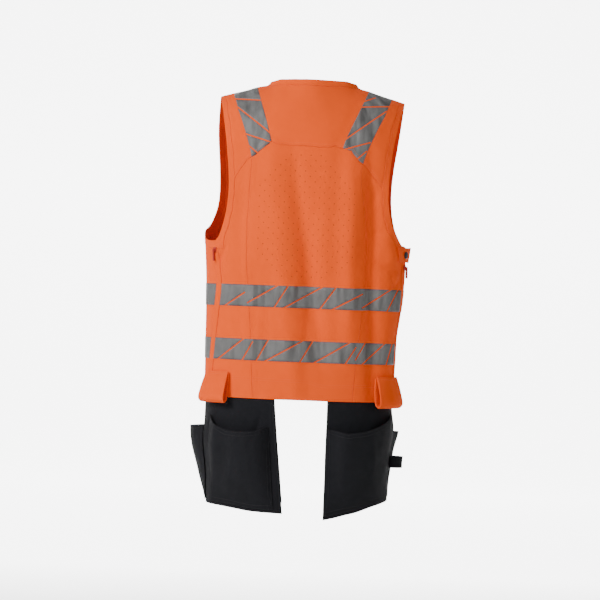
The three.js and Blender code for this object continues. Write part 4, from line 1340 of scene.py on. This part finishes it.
class VEST_OT_holsters(bpy.types.Operator):
    """Makes the holsters, their bags and the hammer loop"""
    bl_idname = "vest.holsters"
    bl_label = "Holsters"

    def execute(self, context):
        made = []
        for node, (width, length, area) in HOLSTER_CUTS.items():
            piece = make_soft_part(node, "nylon")
            made.append(piece)
        made.append(make_soft_part("hammer_loop_right", "webbing"))
        tree = surface_tree(made)
        lines = []
        for node in HOLSTER_CUTS:
            insets = BAG_INSETS if "bag" in node else PANEL_INSETS
            for rows in rim_runs(node):
                lines += [stitch_row(fine_rows(rows), inset * MM, tree) for inset in insets]
        add_stitches("holster_stitches", lines, "black_thread", "holster_panel_left")
        return {"FINISHED"}


class VEST_OT_trims(bpy.types.Operator):
    """Makes the tool loops, the side tab with its snap, and the zip parts"""
    bl_idname = "vest.trims"
    bl_label = "Loops, tab and zip parts"

    def execute(self, context):
        nodes = ("tool_loop_left", "tool_loop_right", "side_tab_right")
        tree = surface_tree([make_soft_part(node, "shell", fold_push) for node in nodes])
        runs = [rows for node in nodes for rows in rim_runs(node)]
        lines = [stitch_row(fine_rows(rows), TRIM_INSET * MM, tree) for rows in runs]
        add_stitches("trim_stitches", lines, "thread", "tool_loop_left")
        make_snap()
        for side in SIDES:
            make_hard_part(f"zip_slider_{side}", "vest")
            make_hard_part(f"zip_pull_{side}", f"pull_{side}")
        return {"FINISHED"}


class VEST_OT_stitches(bpy.types.Operator):
    """Sews the rows of stitches along the vest's seams and hem"""
    bl_idname = "vest.stitches"
    bl_label = "Stitches"

    def execute(self, context):
        cloth = [bpy.data.objects[f"{name}_cloth"] for name in CLOTH_PIECES]
        tree = surface_tree(cloth)
        add_stitches("seam_stitches", seam_rows(tree), "thread", "back_panel")
        add_stitches("hem_stitches", hem_rows(tree), "thread", "back_panel")
        return {"FINISHED"}


class VEST_PT_panel(bpy.types.Panel):
    """Lists what builds the vest"""
    bl_idname = "VEST_PT_panel"
    bl_label = "Tool vest"
    bl_space_type = "VIEW_3D"
    bl_region_type = "UI"
    bl_category = "Tool vest"

    def draw(self, context):
        layout = self.layout
        for operator in OPERATORS:
            layout.operator(operator.bl_idname)
        for group in (context.scene.vest_sizes, context.scene.vest_colours):
            for key in group.__annotations__:
                layout.prop(group, key)


OPERATORS = (
    VEST_OT_stage, VEST_OT_cloth, VEST_OT_tapes, VEST_OT_holsters, VEST_OT_trims, VEST_OT_stitches)
CLASSES = (VEST_PG_sizes, VEST_PG_colours, *OPERATORS, VEST_PT_panel)


def register():
    for cls in CLASSES:
        bpy.utils.register_class(cls)
    bpy.types.Scene.vest_sizes = PointerProperty(type=VEST_PG_sizes)
    bpy.types.Scene.vest_colours = PointerProperty(type=VEST_PG_colours)


def unregister():
    del bpy.types.Scene.vest_colours
    del bpy.types.Scene.vest_sizes
    for cls in reversed(CLASSES):
        bpy.utils.unregister_class(cls)


def main():
    register()
    bpy.ops.vest.stage()
    bpy.ops.vest.cloth()
    bpy.ops.vest.tapes()
    bpy.ops.vest.holsters()
    bpy.ops.vest.trims()
    bpy.ops.vest.stitches()


if __name__ == "__main__":
    main()
